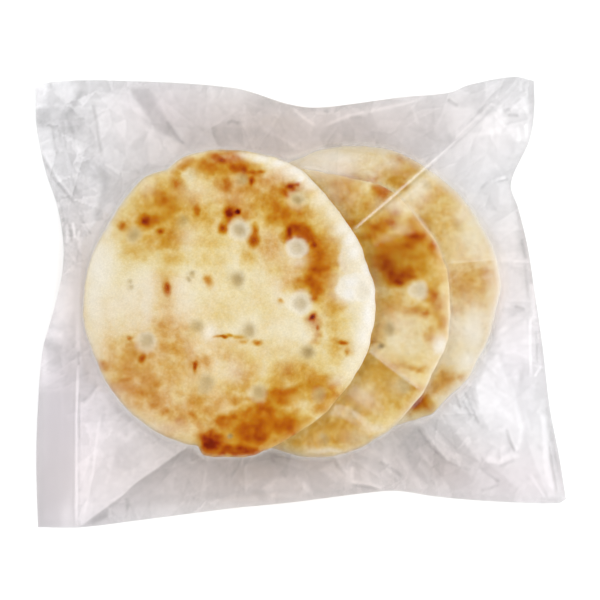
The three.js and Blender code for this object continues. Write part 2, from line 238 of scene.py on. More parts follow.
# Toasted patches. The strength is how toasted they are.
FRONT_TOAST = patches(
    # Top
    (228, 160, 13, 8, 0.68, 0.1), (244, 168, 12, 6, 0.68), (256, 174, 8, 5, 0.62), (216, 157, 7, 5, 0.73),
    (223, 161, 6, 5, 0.75), (234, 168, 8, 5, 0.74), (245, 169, 7, 4, 0.72), (253, 172, 6, 4, 0.71),
    (261, 172, 5, 3, 0.7), (250, 182, 3.5, 7, 0.74), (206, 167, 10, 8, 0.62, 0.2),
    (189, 163, 8, 5, 0.52, 0.4), (183, 166, 6, 4, 0.55, 0.4), (176, 184, 6, 6, 0.64, 0.2),
    # The patch at column 280, row 178 is painted shade on the white crust there.
    (215, 171, 15, 7, 0.6, 0.2), (268, 183, 13, 8, 0.47, 0.9), (280, 178, 9, 6, 0.38, 1.0),
    (261, 181, 7, 6, 0.47, 0.8), (232, 205, 12, 8, 0.5, 0.8), (308, 192, 8, 7, 0.42, 0.3),
    (248, 190, 9, 6, 0.6, 0.1), (251, 181, 5, 6, 0.73), (237, 182, 6, 5, 0.48, 0.6),
    (289, 189, 9, 5, 0.66, 0.2), (284, 183, 7, 4, 0.53, 0.6), (300, 190, 5, 4, 0.48, 0.3),
    (276, 190, 7, 5, 0.58, 0.1), (226, 186, 6, 8, 0.6, 0.4), (233, 194, 11, 8, 0.42, 0.6),
    (176, 173, 5, 6, 0.48, 0.4), (258, 180, 6, 5, 0.45, 0.6), (220, 182, 7, 6, 0.57, 0.2),
    (244, 214, 7, 6, 0.55, 0.2),
    # Left
    (166, 207, 26, 22, 0.49), (180, 190, 8, 8, 0.55), (165, 214, 8, 6, 0.6), (165, 199, 10, 10, 0.62),
    (172, 207, 8, 7, 0.6), (160, 198, 9, 8, 0.48), (146, 208, 6, 18, 0.42), (190, 201, 10, 8, 0.5),
    (206, 216, 16, 10, 0.47), (171, 235, 12, 8, 0.54), (167, 242, 8, 8, 0.57), (178, 243, 6, 8, 0.5),
    (151, 238, 12, 9, 0.47), (139, 252, 12, 9, 0.42), (172, 257, 12, 8, 0.42), (205, 228, 12, 8, 0.4),
    (155, 219, 8, 5, 0.66), (208, 190, 16, 10, 0.38, 0.5), (152, 178, 9, 6, 0.37, 0.2),
    (126, 226, 12, 14, 0.42, 0.1), (128, 250, 8, 14, 0.4), (210, 240, 22, 8, 0.38),
    # Right
    (270, 206, 15, 12, 0.56), (274, 219, 10, 8, 0.6), (286, 238, 8, 5, 0.6, 0.1), (290, 237, 5, 5, 0.68),
    (302, 232, 14, 9, 0.66), (318, 264, 12, 24, 0.62), (268, 201, 13, 8, 0.6), (278, 210, 10, 10, 0.6),
    (285, 195, 6, 5, 0.6), (262, 199, 10, 6, 0.55), (286, 215, 6, 10, 0.63), (300, 214, 12, 8, 0.56),
    (297, 227, 8, 6, 0.71), (305, 231, 8, 6, 0.73), (312, 238, 7, 8, 0.73), (315, 244, 4, 5, 0.78),
    (318, 256, 10, 14, 0.65), (316, 269, 6, 8, 0.7), (312, 281, 7, 8, 0.72), (316, 290, 7, 10, 0.7),
    (315, 298, 5, 5, 0.66), (326, 262, 9, 26, 0.57), (330, 250, 8, 14, 0.52), (332, 284, 6, 12, 0.52),
    (296, 270, 9, 6, 0.43, 0.8), (289, 281, 8, 8, 0.43, 0.6), (271, 246, 9, 16, 0.45, 0.7),
    (331, 304, 9, 12, 0.51), (334, 324, 12, 10, 0.39), (330, 240, 10, 6, 0.45), (337, 347, 10, 10, 0.48),
    (300, 186, 8, 5, 0.46), (322, 225, 8, 10, 0.42), (253, 210, 9, 9, 0.48, 0.5),
    (248, 257, 7, 8, 0.46, 0.1), (318, 334, 5, 6, 0.5), (315, 342, 7, 5, 0.42), (348, 351, 5, 5, 0.48),
    (345, 268, 5, 7, 0.42, 0.2), (320, 240, 7, 8, 0.63), (301, 284, 8, 7, 0.55, 0.2),
    (280, 268, 10, 10, 0.4, 0.3), (282, 350, 14, 10, 0.38),
    # Low left and middle
    (155, 380, 44, 30, 0.42, 0.8), (170, 335, 26, 18, 0.38, 0.7), (180, 418, 34, 16, 0.42, 0.6),
    (131, 352, 10, 12, 0.51, 0.4), (142, 359, 4, 6, 0.72, 0.3), (127, 370, 11, 10, 0.51, 0.6),
    (131, 339, 4, 2.5, 0.6, 0.5), (165, 325, 10, 10, 0.47, 0.7), (178, 337, 12, 13, 0.41, 0.7),
    (170, 350, 12, 10, 0.48, 0.6), (185, 352, 8, 8, 0.47, 0.6), (151, 355, 6, 5, 0.5, 0.6),
    (165, 304, 9, 13, 0.4, 0.6), (104, 366, 6, 5, 0.53, 0.8), (125, 388, 10, 8, 0.46, 1.0),
    (143, 392, 13, 8, 0.5, 1.0), (155, 395, 10, 8, 0.51, 1.0), (115, 385, 8, 8, 0.47, 0.9),
    (150, 380, 10, 8, 0.51, 0.6), (125, 380, 8, 5, 0.55, 0.4), (156, 384, 6, 6, 0.53, 0.6),
    (156, 406, 7, 6, 0.5, 0.6), (175, 373, 8, 8, 0.46, 0.5), (195, 365, 7, 7, 0.46, 0.5),
    (206, 362, 6, 6, 0.45, 0.6), (197, 400, 10, 8, 0.5, 0.4), (206, 410, 10, 6, 0.52, 0.5),
    (193, 415, 6, 4, 0.64, 0.1), (180, 418, 12, 8, 0.49, 0.4), (170, 430, 14, 6, 0.44, 0.3),
    (165, 412, 6, 5, 0.51, 0.6), (230, 390, 11, 9, 0.48, 0.1), (236, 400, 8, 6, 0.5, 0.5),
    (165, 368, 22, 16, 0.43, 0.6), (140, 405, 20, 9, 0.38, 0.8), (112, 345, 8, 8, 0.42, 0.5),
    (116, 358, 7, 9, 0.4, 0.9), (215, 402, 12, 8, 0.46, 0.5), (225, 350, 22, 10, 0.38, 0.4),
    (245, 374, 18, 14, 0.43, 0.3), (240, 386, 11, 7, 0.47, 0.3), (234, 356, 14, 7, 0.43, 0.4),
    (135, 371, 9, 8, 0.52, 0.4), (200, 420, 12, 8, 0.52, 0.4), (216, 312, 18, 12, 0.33),
    (210, 258, 14, 10, 0.36),
    # Bottom
    (294, 374, 20, 12, 0.5), (314, 383, 18, 9, 0.52), (276, 396, 16, 11, 0.57), (326, 386, 11, 7, 0.53),
    (204, 438, 6, 5, 0.78), (212, 430, 6, 5, 0.64), (212, 422, 6, 4, 0.53, 0.2), (197, 438, 5, 4, 0.5, 0.4),
    (211, 414, 6, 4, 0.54, 0.4), (306, 420, 8, 5, 0.52, 0.1), (300, 397, 7, 5, 0.47, 0.2),
    (319, 396, 8, 7, 0.56, 0.3), (266, 422, 20, 16, 0.64), (248, 432, 20, 16, 0.64),
    (286, 427, 12, 10, 0.71, 0.1), (260, 438, 9, 7, 0.75), (212, 443, 11, 10, 0.86), (206, 446, 6, 6, 0.82),
    (218, 436, 6, 5, 0.76), (226, 424, 8, 7, 0.63), (224, 417, 8, 4, 0.66), (237, 416, 10, 5, 0.62),
    (249, 413, 9, 6, 0.66), (244, 430, 9, 8, 0.72), (250, 438, 11, 9, 0.7), (258, 428, 9, 11, 0.69),
    (240, 448, 13, 5, 0.74), (250, 450, 13, 5, 0.76), (229, 449, 9, 5, 0.78), (232, 453, 16, 3.5, 0.8),
    (261, 410, 9, 7, 0.7), (270, 414, 7, 7, 0.66), (290, 422, 8, 9, 0.68), (292, 433, 6, 5, 0.62),
    (286, 400, 8, 7, 0.66), (278, 395, 9, 8, 0.6), (291, 392, 8, 6, 0.63), (301, 386, 8, 5, 0.57),
    (320, 377, 9, 6, 0.47), (330, 386, 8, 6, 0.54), (330, 398, 10, 8, 0.52, 0.2),
    (336, 394, 6, 5, 0.62, 0.1), (277, 384, 11, 11, 0.5), (290, 369, 10, 10, 0.47, 0.1),
    (303, 371, 9, 7, 0.48), (295, 412, 7, 4, 0.5, 0.2), (276, 439, 10, 6, 0.47, 0.2),
    (250, 400, 8, 4, 0.52, 0.1), (268, 402, 9, 7, 0.6), (320, 408, 9, 6, 0.5, 0.4), (220, 422, 6, 5, 0.72),
    # Charred spots
    (145, 221, 6.2, 6, 0.86), (122, 226, 5, 5.6, 0.7, 0.2), (160, 231, 5, 3.6, 0.72),
    (196, 210, 4, 6, 0.68), (228.5, 213.5, 6, 6, 0.9), (236, 212, 3, 3, 1.0), (222.5, 227, 5, 5, 0.78),
    (228, 221, 5, 5, 0.7), (309, 319, 5, 4, 0.66), (253, 240, 5.4, 6, 0.76, 0.3),
    (254, 232, 3.4, 7, 0.7, 0.3), (167, 288, 4, 7, 0.74, 0.4), (166, 281, 8, 12, 0.42, 0.5),
    (208, 281, 3.4, 5, 0.6, 0.4), (289, 186, 7, 4, 0.86, 0.2), (296, 185, 4, 3, 0.74, 0.2),
    (283, 191, 6, 4.5, 0.7, 0.2), (290, 232, 3.2, 6, 0.86), (312, 318, 3.8, 4.4, 0.93),
    (314, 323, 6, 7, 0.6), (317, 328, 2.6, 3.4, 0.7), (343, 344, 4, 3, 0.76), (346, 352, 3, 4, 0.64),
    (258, 343, 4.4, 2.6, 0.66, 0.3), (242, 341, 5, 3, 0.5, 0.7), (195.5, 367, 2, 5.5, 0.76, 0.2),
    (217, 336.5, 4, 1.1, 0.56), (224, 336, 5, 1.2, 0.74), (231, 335, 4, 1.1, 0.62),
    (281, 302, 3, 2.5, 0.52, 0.4), (238, 336, 5, 2, 0.55, 0.2),
)
MIDDLE_TOAST = patches(
    (398, 281, 9, 5, 0.76), (391, 273, 9, 9, 0.73), (386, 263, 9, 9, 0.74), (402, 273, 10, 7, 0.73),
    (412, 276, 8, 4, 0.7), (415, 237, 8, 7, 0.76), (409, 245, 9, 5, 0.68), (421, 236, 7, 7, 0.66),
    (432, 248, 6, 6, 0.66), (412, 225, 8, 7, 0.6, 0.2), (406, 257, 22, 14, 0.57), (410, 270, 8, 6, 0.7),
    # The darker toast at column 375, row 263 also paints the front bread's shadow on this bread.
    (375, 263, 7, 13, 0.6), (383, 252, 12, 10, 0.62), (422, 268, 10, 8, 0.55), (388, 222, 10, 6, 0.66),
    (376, 228, 10, 6, 0.63), (365, 236, 9, 5, 0.6), (395, 213, 6, 6, 0.58), (382, 190, 7, 6, 0.68),
    (376, 187, 5, 5, 0.62), (345, 196, 12, 12, 0.5, 0.4), (360, 208, 18, 12, 0.48), (370, 206, 8, 7, 0.54),
    (352, 222, 12, 6, 0.56), (395, 195, 10, 8, 0.46, 0.1), (340, 182, 14, 6, 0.5, 0.4),
    (433, 298, 6, 8, 0.64), (437, 310, 6, 10, 0.56), (415, 311, 10, 5, 0.57, 0.2), (424, 314, 5, 4, 0.62),
    (441, 322, 5, 9, 0.56), (431, 334, 5, 8, 0.53), (432, 283, 8, 8, 0.5), (386, 308, 10, 14, 0.47, 0.3),
    (378, 320, 6, 22, 0.48, 0.1), (392, 318, 14, 10, 0.44, 0.1), (412, 367, 6, 3, 0.55, 0.1),
    (422, 370, 5, 3, 0.54), (385, 372, 16, 12, 0.5), (389, 386, 10, 8, 0.5), (368, 368, 14, 16, 0.45),
    (372, 238, 6, 6, 0.62), (400, 398, 12, 8, 0.48), (360, 402, 16, 10, 0.5), (393, 300, 8, 10, 0.46, 0.1),
    (330, 438, 26, 10, 0.48, 0.1), (337, 440, 7, 4, 0.56), (302, 440, 12, 8, 0.46, 0.1),
    (380, 390, 8, 8, 0.5), (318, 428, 12, 8, 0.47, 0.3), (345, 425, 16, 8, 0.49), (330, 425, 12, 8, 0.5),
    (395, 366, 14, 4, 0.5), (416, 388, 6, 3, 0.56), (373, 341, 4, 4, 0.55, 0.2), (395, 244, 20, 9, 0.6),
    (362, 395, 8, 14, 0.44), (420, 330, 16, 12, 0.38),
)
BACK_TOAST = patches(
    (402, 160, 10, 5, 0.56, 0.1), (402, 171, 12, 7, 0.56), (414, 165, 8, 5, 0.51), (395, 180, 10, 6, 0.54),
    (404, 179, 3, 3, 0.66), (385, 172, 12, 8, 0.46), (372, 180, 8, 5, 0.52, 0.3),
    (345, 178, 16, 4, 0.55, 0.4), (350, 170, 20, 6, 0.42, 0.4), (366, 158, 10, 6, 0.4),
    (437, 192, 12, 9, 0.44), (455, 205, 12, 10, 0.38), (443, 213, 18, 10, 0.43, 0.1),
    (438, 228, 12, 8, 0.44), (430, 180, 10, 6, 0.36), (470, 283, 20, 16, 0.47, 0.5),
    (458, 288, 12, 13, 0.42, 0.5), (484, 274, 10, 8, 0.45, 0.4), (484, 290, 4, 10, 0.48, 0.2),
    (455, 310, 10, 8, 0.42, 0.3), (443, 375, 7, 6, 0.53, 0.3), (440, 384, 8, 8, 0.5, 0.5),
    (462, 378, 4, 4, 0.56, 0.2), (450, 378, 7, 6, 0.5, 0.3), (432, 391, 8, 6, 0.42, 0.6),
    (430, 200, 10, 8, 0.48, 0.1), (421, 402, 8, 7, 0.74), (428, 407, 6, 5, 0.7), (415, 404, 5, 4, 0.62),
    (409, 413, 4, 4, 0.4), (475, 300, 12, 6, 0.43, 0.4), (430, 221, 11, 9, 0.49), (470, 258, 22, 4, 0.42),
    (456, 250, 10, 8, 0.42, 0.1), (446, 240, 12, 10, 0.42), (420, 205, 10, 8, 0.44),
    (400, 184, 10, 5, 0.56), (450, 225, 10, 8, 0.43),
)
# A blister is a toasted patch with a crisp edge.
FRONT_BLISTERS = patches((251, 451, 50, 40, 0.5))

# Floury patches.
FRONT_FLOUR = patches(
    (262, 158, 10, 4, 0.75), (281, 163, 10, 4.5, 0.85), (297, 171, 9, 6, 0.85), (312, 182, 8, 7, 0.75),
    (301, 179, 6, 4, 0.95), (325, 197, 8, 9, 0.5), (334, 213, 8, 10, 0.5), (343, 227, 8, 9, 0.75),
    (351, 239, 7, 9, 0.95), (355, 252, 8, 10, 0.95), (353, 266, 8, 9, 0.5), (366, 271, 7, 10, 0.95),
    (352, 283, 11, 7, 1.0), (350, 293, 10, 7, 1.0), (373, 295, 6, 16, 1.0), (369, 315, 6, 16, 1.0),
    (365, 335, 6, 12, 0.75), (360, 352, 7, 10, 0.3), (351, 370, 8, 9, 0.3), (340, 379, 7, 6, 0.35),
    (98, 266, 12, 28, 0.7), (94, 296, 9, 22, 0.6), (107, 221, 5, 14, 0.95), (300, 261, 7, 5, 0.35),
    (145, 183, 8, 8, 0.3), (130, 300, 14, 20, 0.3), (195, 190, 10, 8, 0.25), (190, 236, 8, 8, 0.25),
    (305, 330, 12, 14, 0.3), (150, 428, 26, 6, 0.4), (110, 395, 8, 8, 0.35), (285, 335, 12, 20, 0.25),
    (146, 305, 6, 18, 0.4), (209, 331, 5, 8, 0.5), (112, 300, 10, 20, 0.3), (230, 158, 14, 3, 0.2),
    (245, 155, 10, 4, 0.6), (185, 300, 12, 12, 0.25), (232, 372, 8, 8, 0.3),
)
MIDDLE_FLOUR = patches(
    (410, 345, 18, 11, 0.25), (431, 350, 10, 10, 0.2), (365, 396, 10, 8, 0.25), (396, 206, 9, 7, 0.4),
    (402, 326, 16, 10, 0.35), (380, 205, 7, 7, 0.2), (440, 300, 6, 10, 0.1), (400, 386, 8, 6, 0.2),
    (360, 438, 14, 8, 0.2), (441, 345, 6, 9, 0.85), (444, 362, 5, 8, 0.5), (402, 336, 16, 10, 0.3),
    (398, 220, 8, 6, 0.1), (372, 300, 5, 26, 0.2), (446, 300, 5, 26, 0.2), (330, 452, 24, 3, 0.5),
    (380, 430, 10, 4, 0.4),
)
BACK_FLOUR = patches(
    (474, 332, 13, 20, 0.7), (470, 360, 11, 11, 0.7), (455, 322, 9, 14, 0.4), (481, 248, 10, 12, 0.35),
    (392, 163, 9, 6, 0.4), (466, 214, 9, 10, 0.4), (375, 165, 8, 6, 0.3), (310, 165, 12, 6, 0.5),
    (328, 168, 26, 8, 0.6), (368, 174, 10, 5, 0.35), (335, 158, 28, 7, 0.65), (365, 150, 20, 4, 0.4),
    (474, 240, 14, 12, 0.4), (493, 285, 7, 34, 0.3), (460, 340, 12, 20, 0.3), (452, 175, 10, 8, 0.5),
    (475, 215, 8, 14, 0.5), (418, 190, 8, 10, 0.4),
)
# Smooth white skin is a floury patch with a crisp edge.
FRONT_SKINS = patches((372, 258, 33, 40, 0.5), (361, 287, 27, 15, 0.7))

# Each bread's centre is a picture place, level its place in the stack, cells the fineness of its crust
# and base how toasted the plain crust is. sag is how far the free left side hangs down, how far left of
# the centre that starts, and over what length. rim is pairs of angle and how floury the rim is there.
BREADS = (
    dict(
        name="front_bread", centre=(231, 300), level=2, seed=11, cells=230, base=0.29,
        sag=(15, 15, 75), outline=FRONT_OUTLINE, dimples=FRONT_DIMPLES, toast=FRONT_TOAST,
        blisters=FRONT_BLISTERS, flour=FRONT_FLOUR, skins=FRONT_SKINS, rim_softness=0.8,
        rim=((-100, 0.1), (-40, 0.1), (-15, 0.4), (60, 0.5), (90, 0.2), (150, 0.6), (220, 0.4)),
    ),
    dict(
        name="middle_bread", centre=(305, 310), level=1, seed=23, cells=190, base=0.39,
        sag=(5, 48, 42), outline=MIDDLE_OUTLINE, dimples=MIDDLE_DIMPLES, toast=MIDDLE_TOAST,
        blisters=(), flour=MIDDLE_FLOUR, skins=(), rim_softness=0.7,
        rim=((-90, 0.5), (0, 0.45), (15, 0.15), (60, 0.15), (120, 0)),
    ),
    dict(
        name="back_bread", centre=(358, 288), level=0, seed=37, cells=190, base=0.34,
        sag=(0, 15, 75), outline=BACK_OUTLINE, dimples=BACK_DIMPLES, toast=BACK_TOAST,
        blisters=(), flour=BACK_FLOUR, skins=(), rim_softness=0.55,
        rim=((-60, 0.3), (-30, 0.9), (35, 0.9), (60, 0.6), (90, 0.6)),
    ),
)


# Bread form

# The outline is read in steps of some degrees, evened over a window of steps and made a little ragged. The
# rim is rounded in steps, and loops at some insets in mm close the underside.
OUTLINE_STEP = 0.5
OUTLINE_WINDOW = 9
RAGGED_ROUND = 60
RAGGED = Layer(0.45, 7)
RIM_TOP_STEPS = 12
RIM_LOW_STEPS = 6
RIM_RELIEF = 0.25
UNDERSIDE_INSETS = (12, 30, 50, 70, 86)
LEAST_RADIUS = 0.5


def underside_of(bread):
    """Height of a bread's underside in the stack."""
    return STACK_BASE + bread["level"] * BREAD_THICKNESS


def centre_of(bread):
    return seen_at(*bread["centre"], underside_of(bread) + RIM_HEIGHT)


def sag_at(bread, x):
    """How far the free left side of a bread hangs down."""
    drop, start, reach = bread["sag"]
    overhang = np.maximum(0, centre_of(bread)[0] - start - x) / reach
    return drop * overhang ** 2


def outline_of(bread):
    """A function for a bread's radius at an angle about its centre."""
    rim = underside_of(bread) + RIM_HEIGHT
    column, row = bread["centre"]
    centre_x, centre_y = centre_of(bread)
    angles, radii = np.array(bread["outline"]).T
    columns = column + radii * np.cos(np.radians(angles))
    rows = row - radii * np.sin(np.radians(angles))
    x, y = seen_at(columns, rows, rim)
    x, y = seen_at(columns, rows, rim - sag_at(bread, x))
    true_angles = np.arctan2(y - centre_y, x - centre_x)
    true_radii = np.hypot(x - centre_x, y - centre_y)
    order = np.argsort(true_angles)
    dense = np.radians(np.arange(0, 360, OUTLINE_STEP))
    found = np.interp(dense, true_angles[order], true_radii[order], period=FULL_TURN)
    window = np.hanning(OUTLINE_WINDOW)
    pad = OUTLINE_WINDOW - 1
    wrapped = np.concatenate([found[-pad:], found, found[:pad]])
    even = np.convolve(wrapped, window / window.sum(), mode="same")[pad:-pad]
    ragged = layered(RAGGED_ROUND * np.cos(dense), RAGGED_ROUND * np.sin(dense), RAGGED, bread["seed"])
    return lambda angle: np.interp(angle, dense, even + ragged, period=FULL_TURN)


def disc_cells(cells):
    """Share of the radius and angle of each point of a square grid that is bent into a disc."""
    side = np.linspace(-1, 1, cells + 1)
    a, b = np.meshgrid(side, side, indexing="ij")
    wide = np.abs(a) > np.abs(b)
    safe_a = np.where(a == 0, 1, a)
    safe_b = np.where(b == 0, 1, b)
    reach = np.where(wide, a, b)
    angle = np.where(wide, np.pi / 4 * b / safe_a, np.pi / 2 - np.pi / 4 * a / safe_b)
    angle = np.where(reach < 0, angle + np.pi, angle)
    return np.abs(reach).ravel(), angle.ravel()


def rim_of_grid(cells):
    """Numbers of a grid's border points, in order round it."""
    index = grid_index(cells)
    return np.concatenate([index[:-1, 0], index[-1, :-1], index[:0:-1, -1], index[0, :0:-1]])


def rim_sections():
    """Loops from the crust's edge over the rim and under the bread: inset, height and relief."""
    sections = []
    for turn in np.linspace(0, np.pi / 2, RIM_TOP_STEPS + 1)[1:]:
        inset = RIM_ROUND_TOP * (1 - np.sin(turn))
        level = RIM_HEIGHT + (CRUST_TOP - RIM_HEIGHT) * np.cos(turn)
        sections.append((inset, level, RIM_RELIEF + (1 - RIM_RELIEF) * np.cos(turn)))
    for turn in np.linspace(0, np.pi / 2, RIM_LOW_STEPS + 1)[1:]:
        inset = RIM_ROUND_LOW * (1 - np.cos(turn))
        sections.append((inset, RIM_HEIGHT * (1 - np.sin(turn)), 0.0))
    for inset in UNDERSIDE_INSETS:
        sections.append((inset, 0.0, 0.0))
    return sections


def loop_faces(loop, following):
    """Four-sided faces between two loops of points."""
    return np.stack([loop, following, np.roll(following, -1), np.roll(loop, -1)], -1).tolist()


def bread_points(bread):
    """Points of a bread's smooth form, the crust's grid first and then the loops round and under it, with
    their faces. crust tells how much of the crust's relief each point takes."""
    cells = (bread["cells"], bread["cells"])
    radius_at = outline_of(bread)
    share, angle = disc_cells(bread["cells"])
    loop = rim_of_grid(cells)
    loop_angle = angle[loop]
    loop_radius = radius_at(loop_angle)
    radii = [share * (radius_at(angle) - RIM_ROUND_TOP)]
    angles = [angle]
    heights = [np.full_like(share, CRUST_TOP)]
    crusts = [np.ones_like(share)]
    faces = grid_faces(cells)
    start = len(share)
    for inset, level, relief in rim_sections():
        radii.append(np.maximum(loop_radius - inset, LEAST_RADIUS))
        angles.append(loop_angle)
        heights.append(np.full(len(loop), level))
        crusts.append(np.full(len(loop), relief))
        following = np.arange(start, start + len(loop))
        faces += loop_faces(loop, following)
        loop = following
        start += len(loop)
    faces.append(loop[::-1].tolist())
    radius, angle = np.concatenate(radii), np.concatenate(angles)
    centre_x, centre_y = centre_of(bread)
    x = centre_x + radius * np.cos(angle)
    y = centre_y + radius * np.sin(angle)
    z = underside_of(bread) + np.concatenate(heights) - sag_at(bread, x)
    return x, y, z, np.concatenate(crusts), faces


# Bread crust

# A rise is a start and a length, and a fall is an end and a length.
COLUMN_WARP = Layer(1.6, 13)
ROW_WARP = Layer(1.6, 13, 5)

LEAST_TOAST = 0.05
TOAST_MOTTLE = Layer(0.055, 28, 2)
TOAST_POWER = 4
TOAST_BEND = 0.85
TOAST_CLOUD = Layer(0.15, 13, 4)
CLOUD_FALL = (0.5, 0.2)
SPECKLE = Layer(0.035, 6, 3)
SPECKLE_LEAST = 0.45
SPECKLE_RISE = (0.25, 0.3)
BLUSH = Layer(0.25, 16, 7)
PLAIN_WEIGHT = 0.02
BLISTER_FALL = (1.05, 0.1)

FLOUR_WARP_SEED = 40
RING_FLOUR = 0.75
RING_FALL = (1.3, 0.7)
BOTTOM_FALLOFF = 0.6
SKIN_FALL = (1.08, 0.2)
RIM_FLOUR_REACH = 0.7
TOASTED_FLOUR_LOSS = 0.9
FLOUR_LOSS_RISE = (0.58, 0.2)

# Relief of the crust, with heights in mm. A pit's width is a share of its ring, and the place of the lip
# round it is in widths of the pit.
RELIEF_DROP = 0.35
RELIEF_LAYERS = (Layer(0.55, 44, 60), Layer(0.36, 11, 63), Layer(0.15, 4, 66, 2))
RELIEF_MOST = 0.45
PIT_WIDTH = 0.7
PIT_FALLOFF = 1.1
LIP_HEIGHT = 0.3
LIP_FALLOFF = 3
LIP_PLACE = 1.7
CHAR_TOAST = 0.72
CHAR_WIDTH = 8
CHAR_HEIGHT = 0.3
BLISTER_HEIGHT = 0.8
BLISTER_SLOPE = (1.05, 0.25)

UNDERSIDE_START = 0.3
UNDERSIDE_TOAST = 0.45
UNDERSIDE_MOTTLE = Layer(0.12, 18, 80)


def warped(column, row, seed):
    """Picture places pushed about a little, so that painted patches get ragged edges."""
    return column + layered(column, row, COLUMN_WARP, seed), row + layered(column, row, ROW_WARP, seed)


def toast_of(bread, column, row):
    """How toasted and how pink the crust is at each place."""
    seed = bread["seed"]
    bent_column, bent_row = warped(column, row, seed)
    base = np.clip(bread["base"] + layered(column, row, TOAST_MOTTLE, seed), LEAST_TOAST, 1)
    acting = [(patch, spread(bent_column, bent_row, patch)) for patch in bread["toast"]]
    for patch in bread["blisters"]:
        acting.append((patch, fall(reach_of(bent_column, bent_row, patch), *BLISTER_FALL)))
    total = np.zeros_like(column)
    pink_sum = np.zeros_like(column)
    weight = np.full_like(column, PLAIN_WEIGHT)
    for patch, shown in acting:
        total = total + (np.maximum(patch.strength - base, 0) * shown) ** TOAST_POWER
        pink_sum = pink_sum + patch.pink * shown
        weight = weight + shown
    excess = total ** (1 / TOAST_POWER)
    cloud = layered(column, row, TOAST_CLOUD, seed) * fall(excess, *CLOUD_FALL)
    toast = base + excess ** TOAST_BEND * (1 + cloud)
    speckled = SPECKLE_LEAST + rise(toast, *SPECKLE_RISE)
    toast = toast + layered(column, row, SPECKLE, seed) * speckled
    return toast, np.clip(pink_sum / weight + layered(column, row, BLUSH, seed), 0, 1)


def flour_of(bread, column, row):
    """How floury the crust is at each place, and how grey the bottoms of the dimples are."""
    bent_column, bent_row = warped(column, row, bread["seed"] + FLOUR_WARP_SEED)
    flour = np.zeros_like(column)
    grey = np.zeros_like(column)
    for patch in bread["flour"]:
        flour = np.maximum(flour, strength_at(bent_column, bent_row, patch))
    for dimple_column, dimple_row, ring, floury, bottom, greyness, _ in bread["dimples"]:
        away = np.hypot(bent_column - dimple_column, bent_row - dimple_row)
        flour = np.maximum(flour, RING_FLOUR * floury * fall(away / ring, *RING_FALL))
        grey = np.maximum(grey, greyness * np.exp(-BOTTOM_FALLOFF * (away / bottom) ** 3))
    for patch in bread["skins"]:
        skin = fall(reach_of(bent_column, bent_row, patch), *SKIN_FALL)
        flour = np.maximum(flour, patch.strength * skin)
    return flour, grey


def rim_flour(bread, x, y, crust):
    """How floury the rim is: amounts by angle about the bread's centre, fading inwards."""
    centre_x, centre_y = centre_of(bread)
    angle = np.degrees(np.arctan2(y - centre_y, x - centre_x))
    angles, amounts = zip(*bread["rim"])
    amount = np.interp(angle, angles, amounts, period=360)
    return amount * smooth_step(((1 - crust) / RIM_FLOUR_REACH) ** bread["rim_softness"])


def relief_of(bread, column, row):
    """Height of the crust over its smooth form, in mm."""
    height = np.full_like(column, -RELIEF_DROP)
    for layer in RELIEF_LAYERS:
        height = height + layered(column, row, layer, bread["seed"])
    for dimple_column, dimple_row, ring, _, _, _, depth in bread["dimples"]:
        reach = np.hypot(column - dimple_column, row - dimple_row) / (PIT_WIDTH * ring)
        height = height - depth * np.exp(-PIT_FALLOFF * reach ** 2)
        height = height + LIP_HEIGHT * np.exp(-LIP_FALLOFF * (reach - LIP_PLACE) ** 2)
    for patch in bread["toast"]:
        if patch.strength >= CHAR_TOAST and patch.half_width < CHAR_WIDTH:
            height = height + CHAR_HEIGHT * spread(column, row, patch)
    for patch in bread["blisters"]:
        height = height + BLISTER_HEIGHT * fall(reach_of(column, row, patch), *BLISTER_SLOPE)
    return np.minimum(height, RELIEF_MOST)


def make_bread(bread, material):
    x, y, z, crust, faces = bread_points(bread)
    column, row = picture_of(x, y, z)
    z = z + crust * relief_of(bread, column, row)
    toast, pink = toast_of(bread, column, row)
    flour, grey = flour_of(bread, column, row)
    flour = np.maximum(flour, rim_flour(bread, x, y, crust))
    flour = flour * (1 - TOASTED_FLOUR_LOSS * rise(toast, *FLOUR_LOSS_RISE))
    under = smooth_step(1 - crust / UNDERSIDE_START)
    brown = UNDERSIDE_TOAST + layered(x, y, UNDERSIDE_MOTTLE, bread["seed"])
    toast = toast * (1 - under) + brown * under
    values = dict(toast=toast, pink=pink, flour=flour * (1 - under), grey=grey * (1 - under))
    piece = make_mesh(bread["name"], np.stack([x, y, z], -1), faces, material, values)
    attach(piece, "root")
    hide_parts("bag")
    return piece


# Film plan

# Corners of the bag, and how far each side is drawn in from the straight line between them, as pairs
# of the share along the side and the pull in.
TOP_LEFT = (-167.1, 136.2)
TOP_RIGHT = (147.0, 139.3)
BOTTOM_LEFT = (-165.3, -141.8)
BOTTOM_RIGHT = (167.1, -123.6)
TOP_PULL = (
    (0, 0), (0.03, -2.4), (0.15, -2.6), (0.4, 3.4), (0.51, 14), (0.57, 16.2), (0.73, 10.2), (0.83, 7.2),
    (0.87, 2.4), (0.96, -2.6), (1, 0),
)
BOTTOM_PULL = (
    (0, 0), (0.08, -0.8), (0.2, 2.1), (0.37, 6.5), (0.48, 8.2), (0.65, 12), (0.69, 11.3), (0.75, 7),
    (0.82, 3.3), (0.91, -0.3), (0.985, -2.2), (1, 0),
)
LEFT_PULL = (
    (0, 0), (0.15, -0.4), (0.27, 1.1), (0.4, 4.5), (0.5, 12.2), (0.58, 17.3), (0.65, 17.8), (0.73, 13.9),
    (0.81, 6.5), (0.91, 1), (1, 0),
)
RIGHT_PULL = (
    (0, 0), (0.1, 2.4), (0.22, 6.3), (0.37, 8.2), (0.5, 10.6), (0.61, 12.9), (0.7, 16.7), (0.76, 19.9),
    (0.86, 6), (0.93, 1.4), (1, 0),
)
UPPER_CELLS = (350, 270)
LOWER_CELLS = (170, 140)


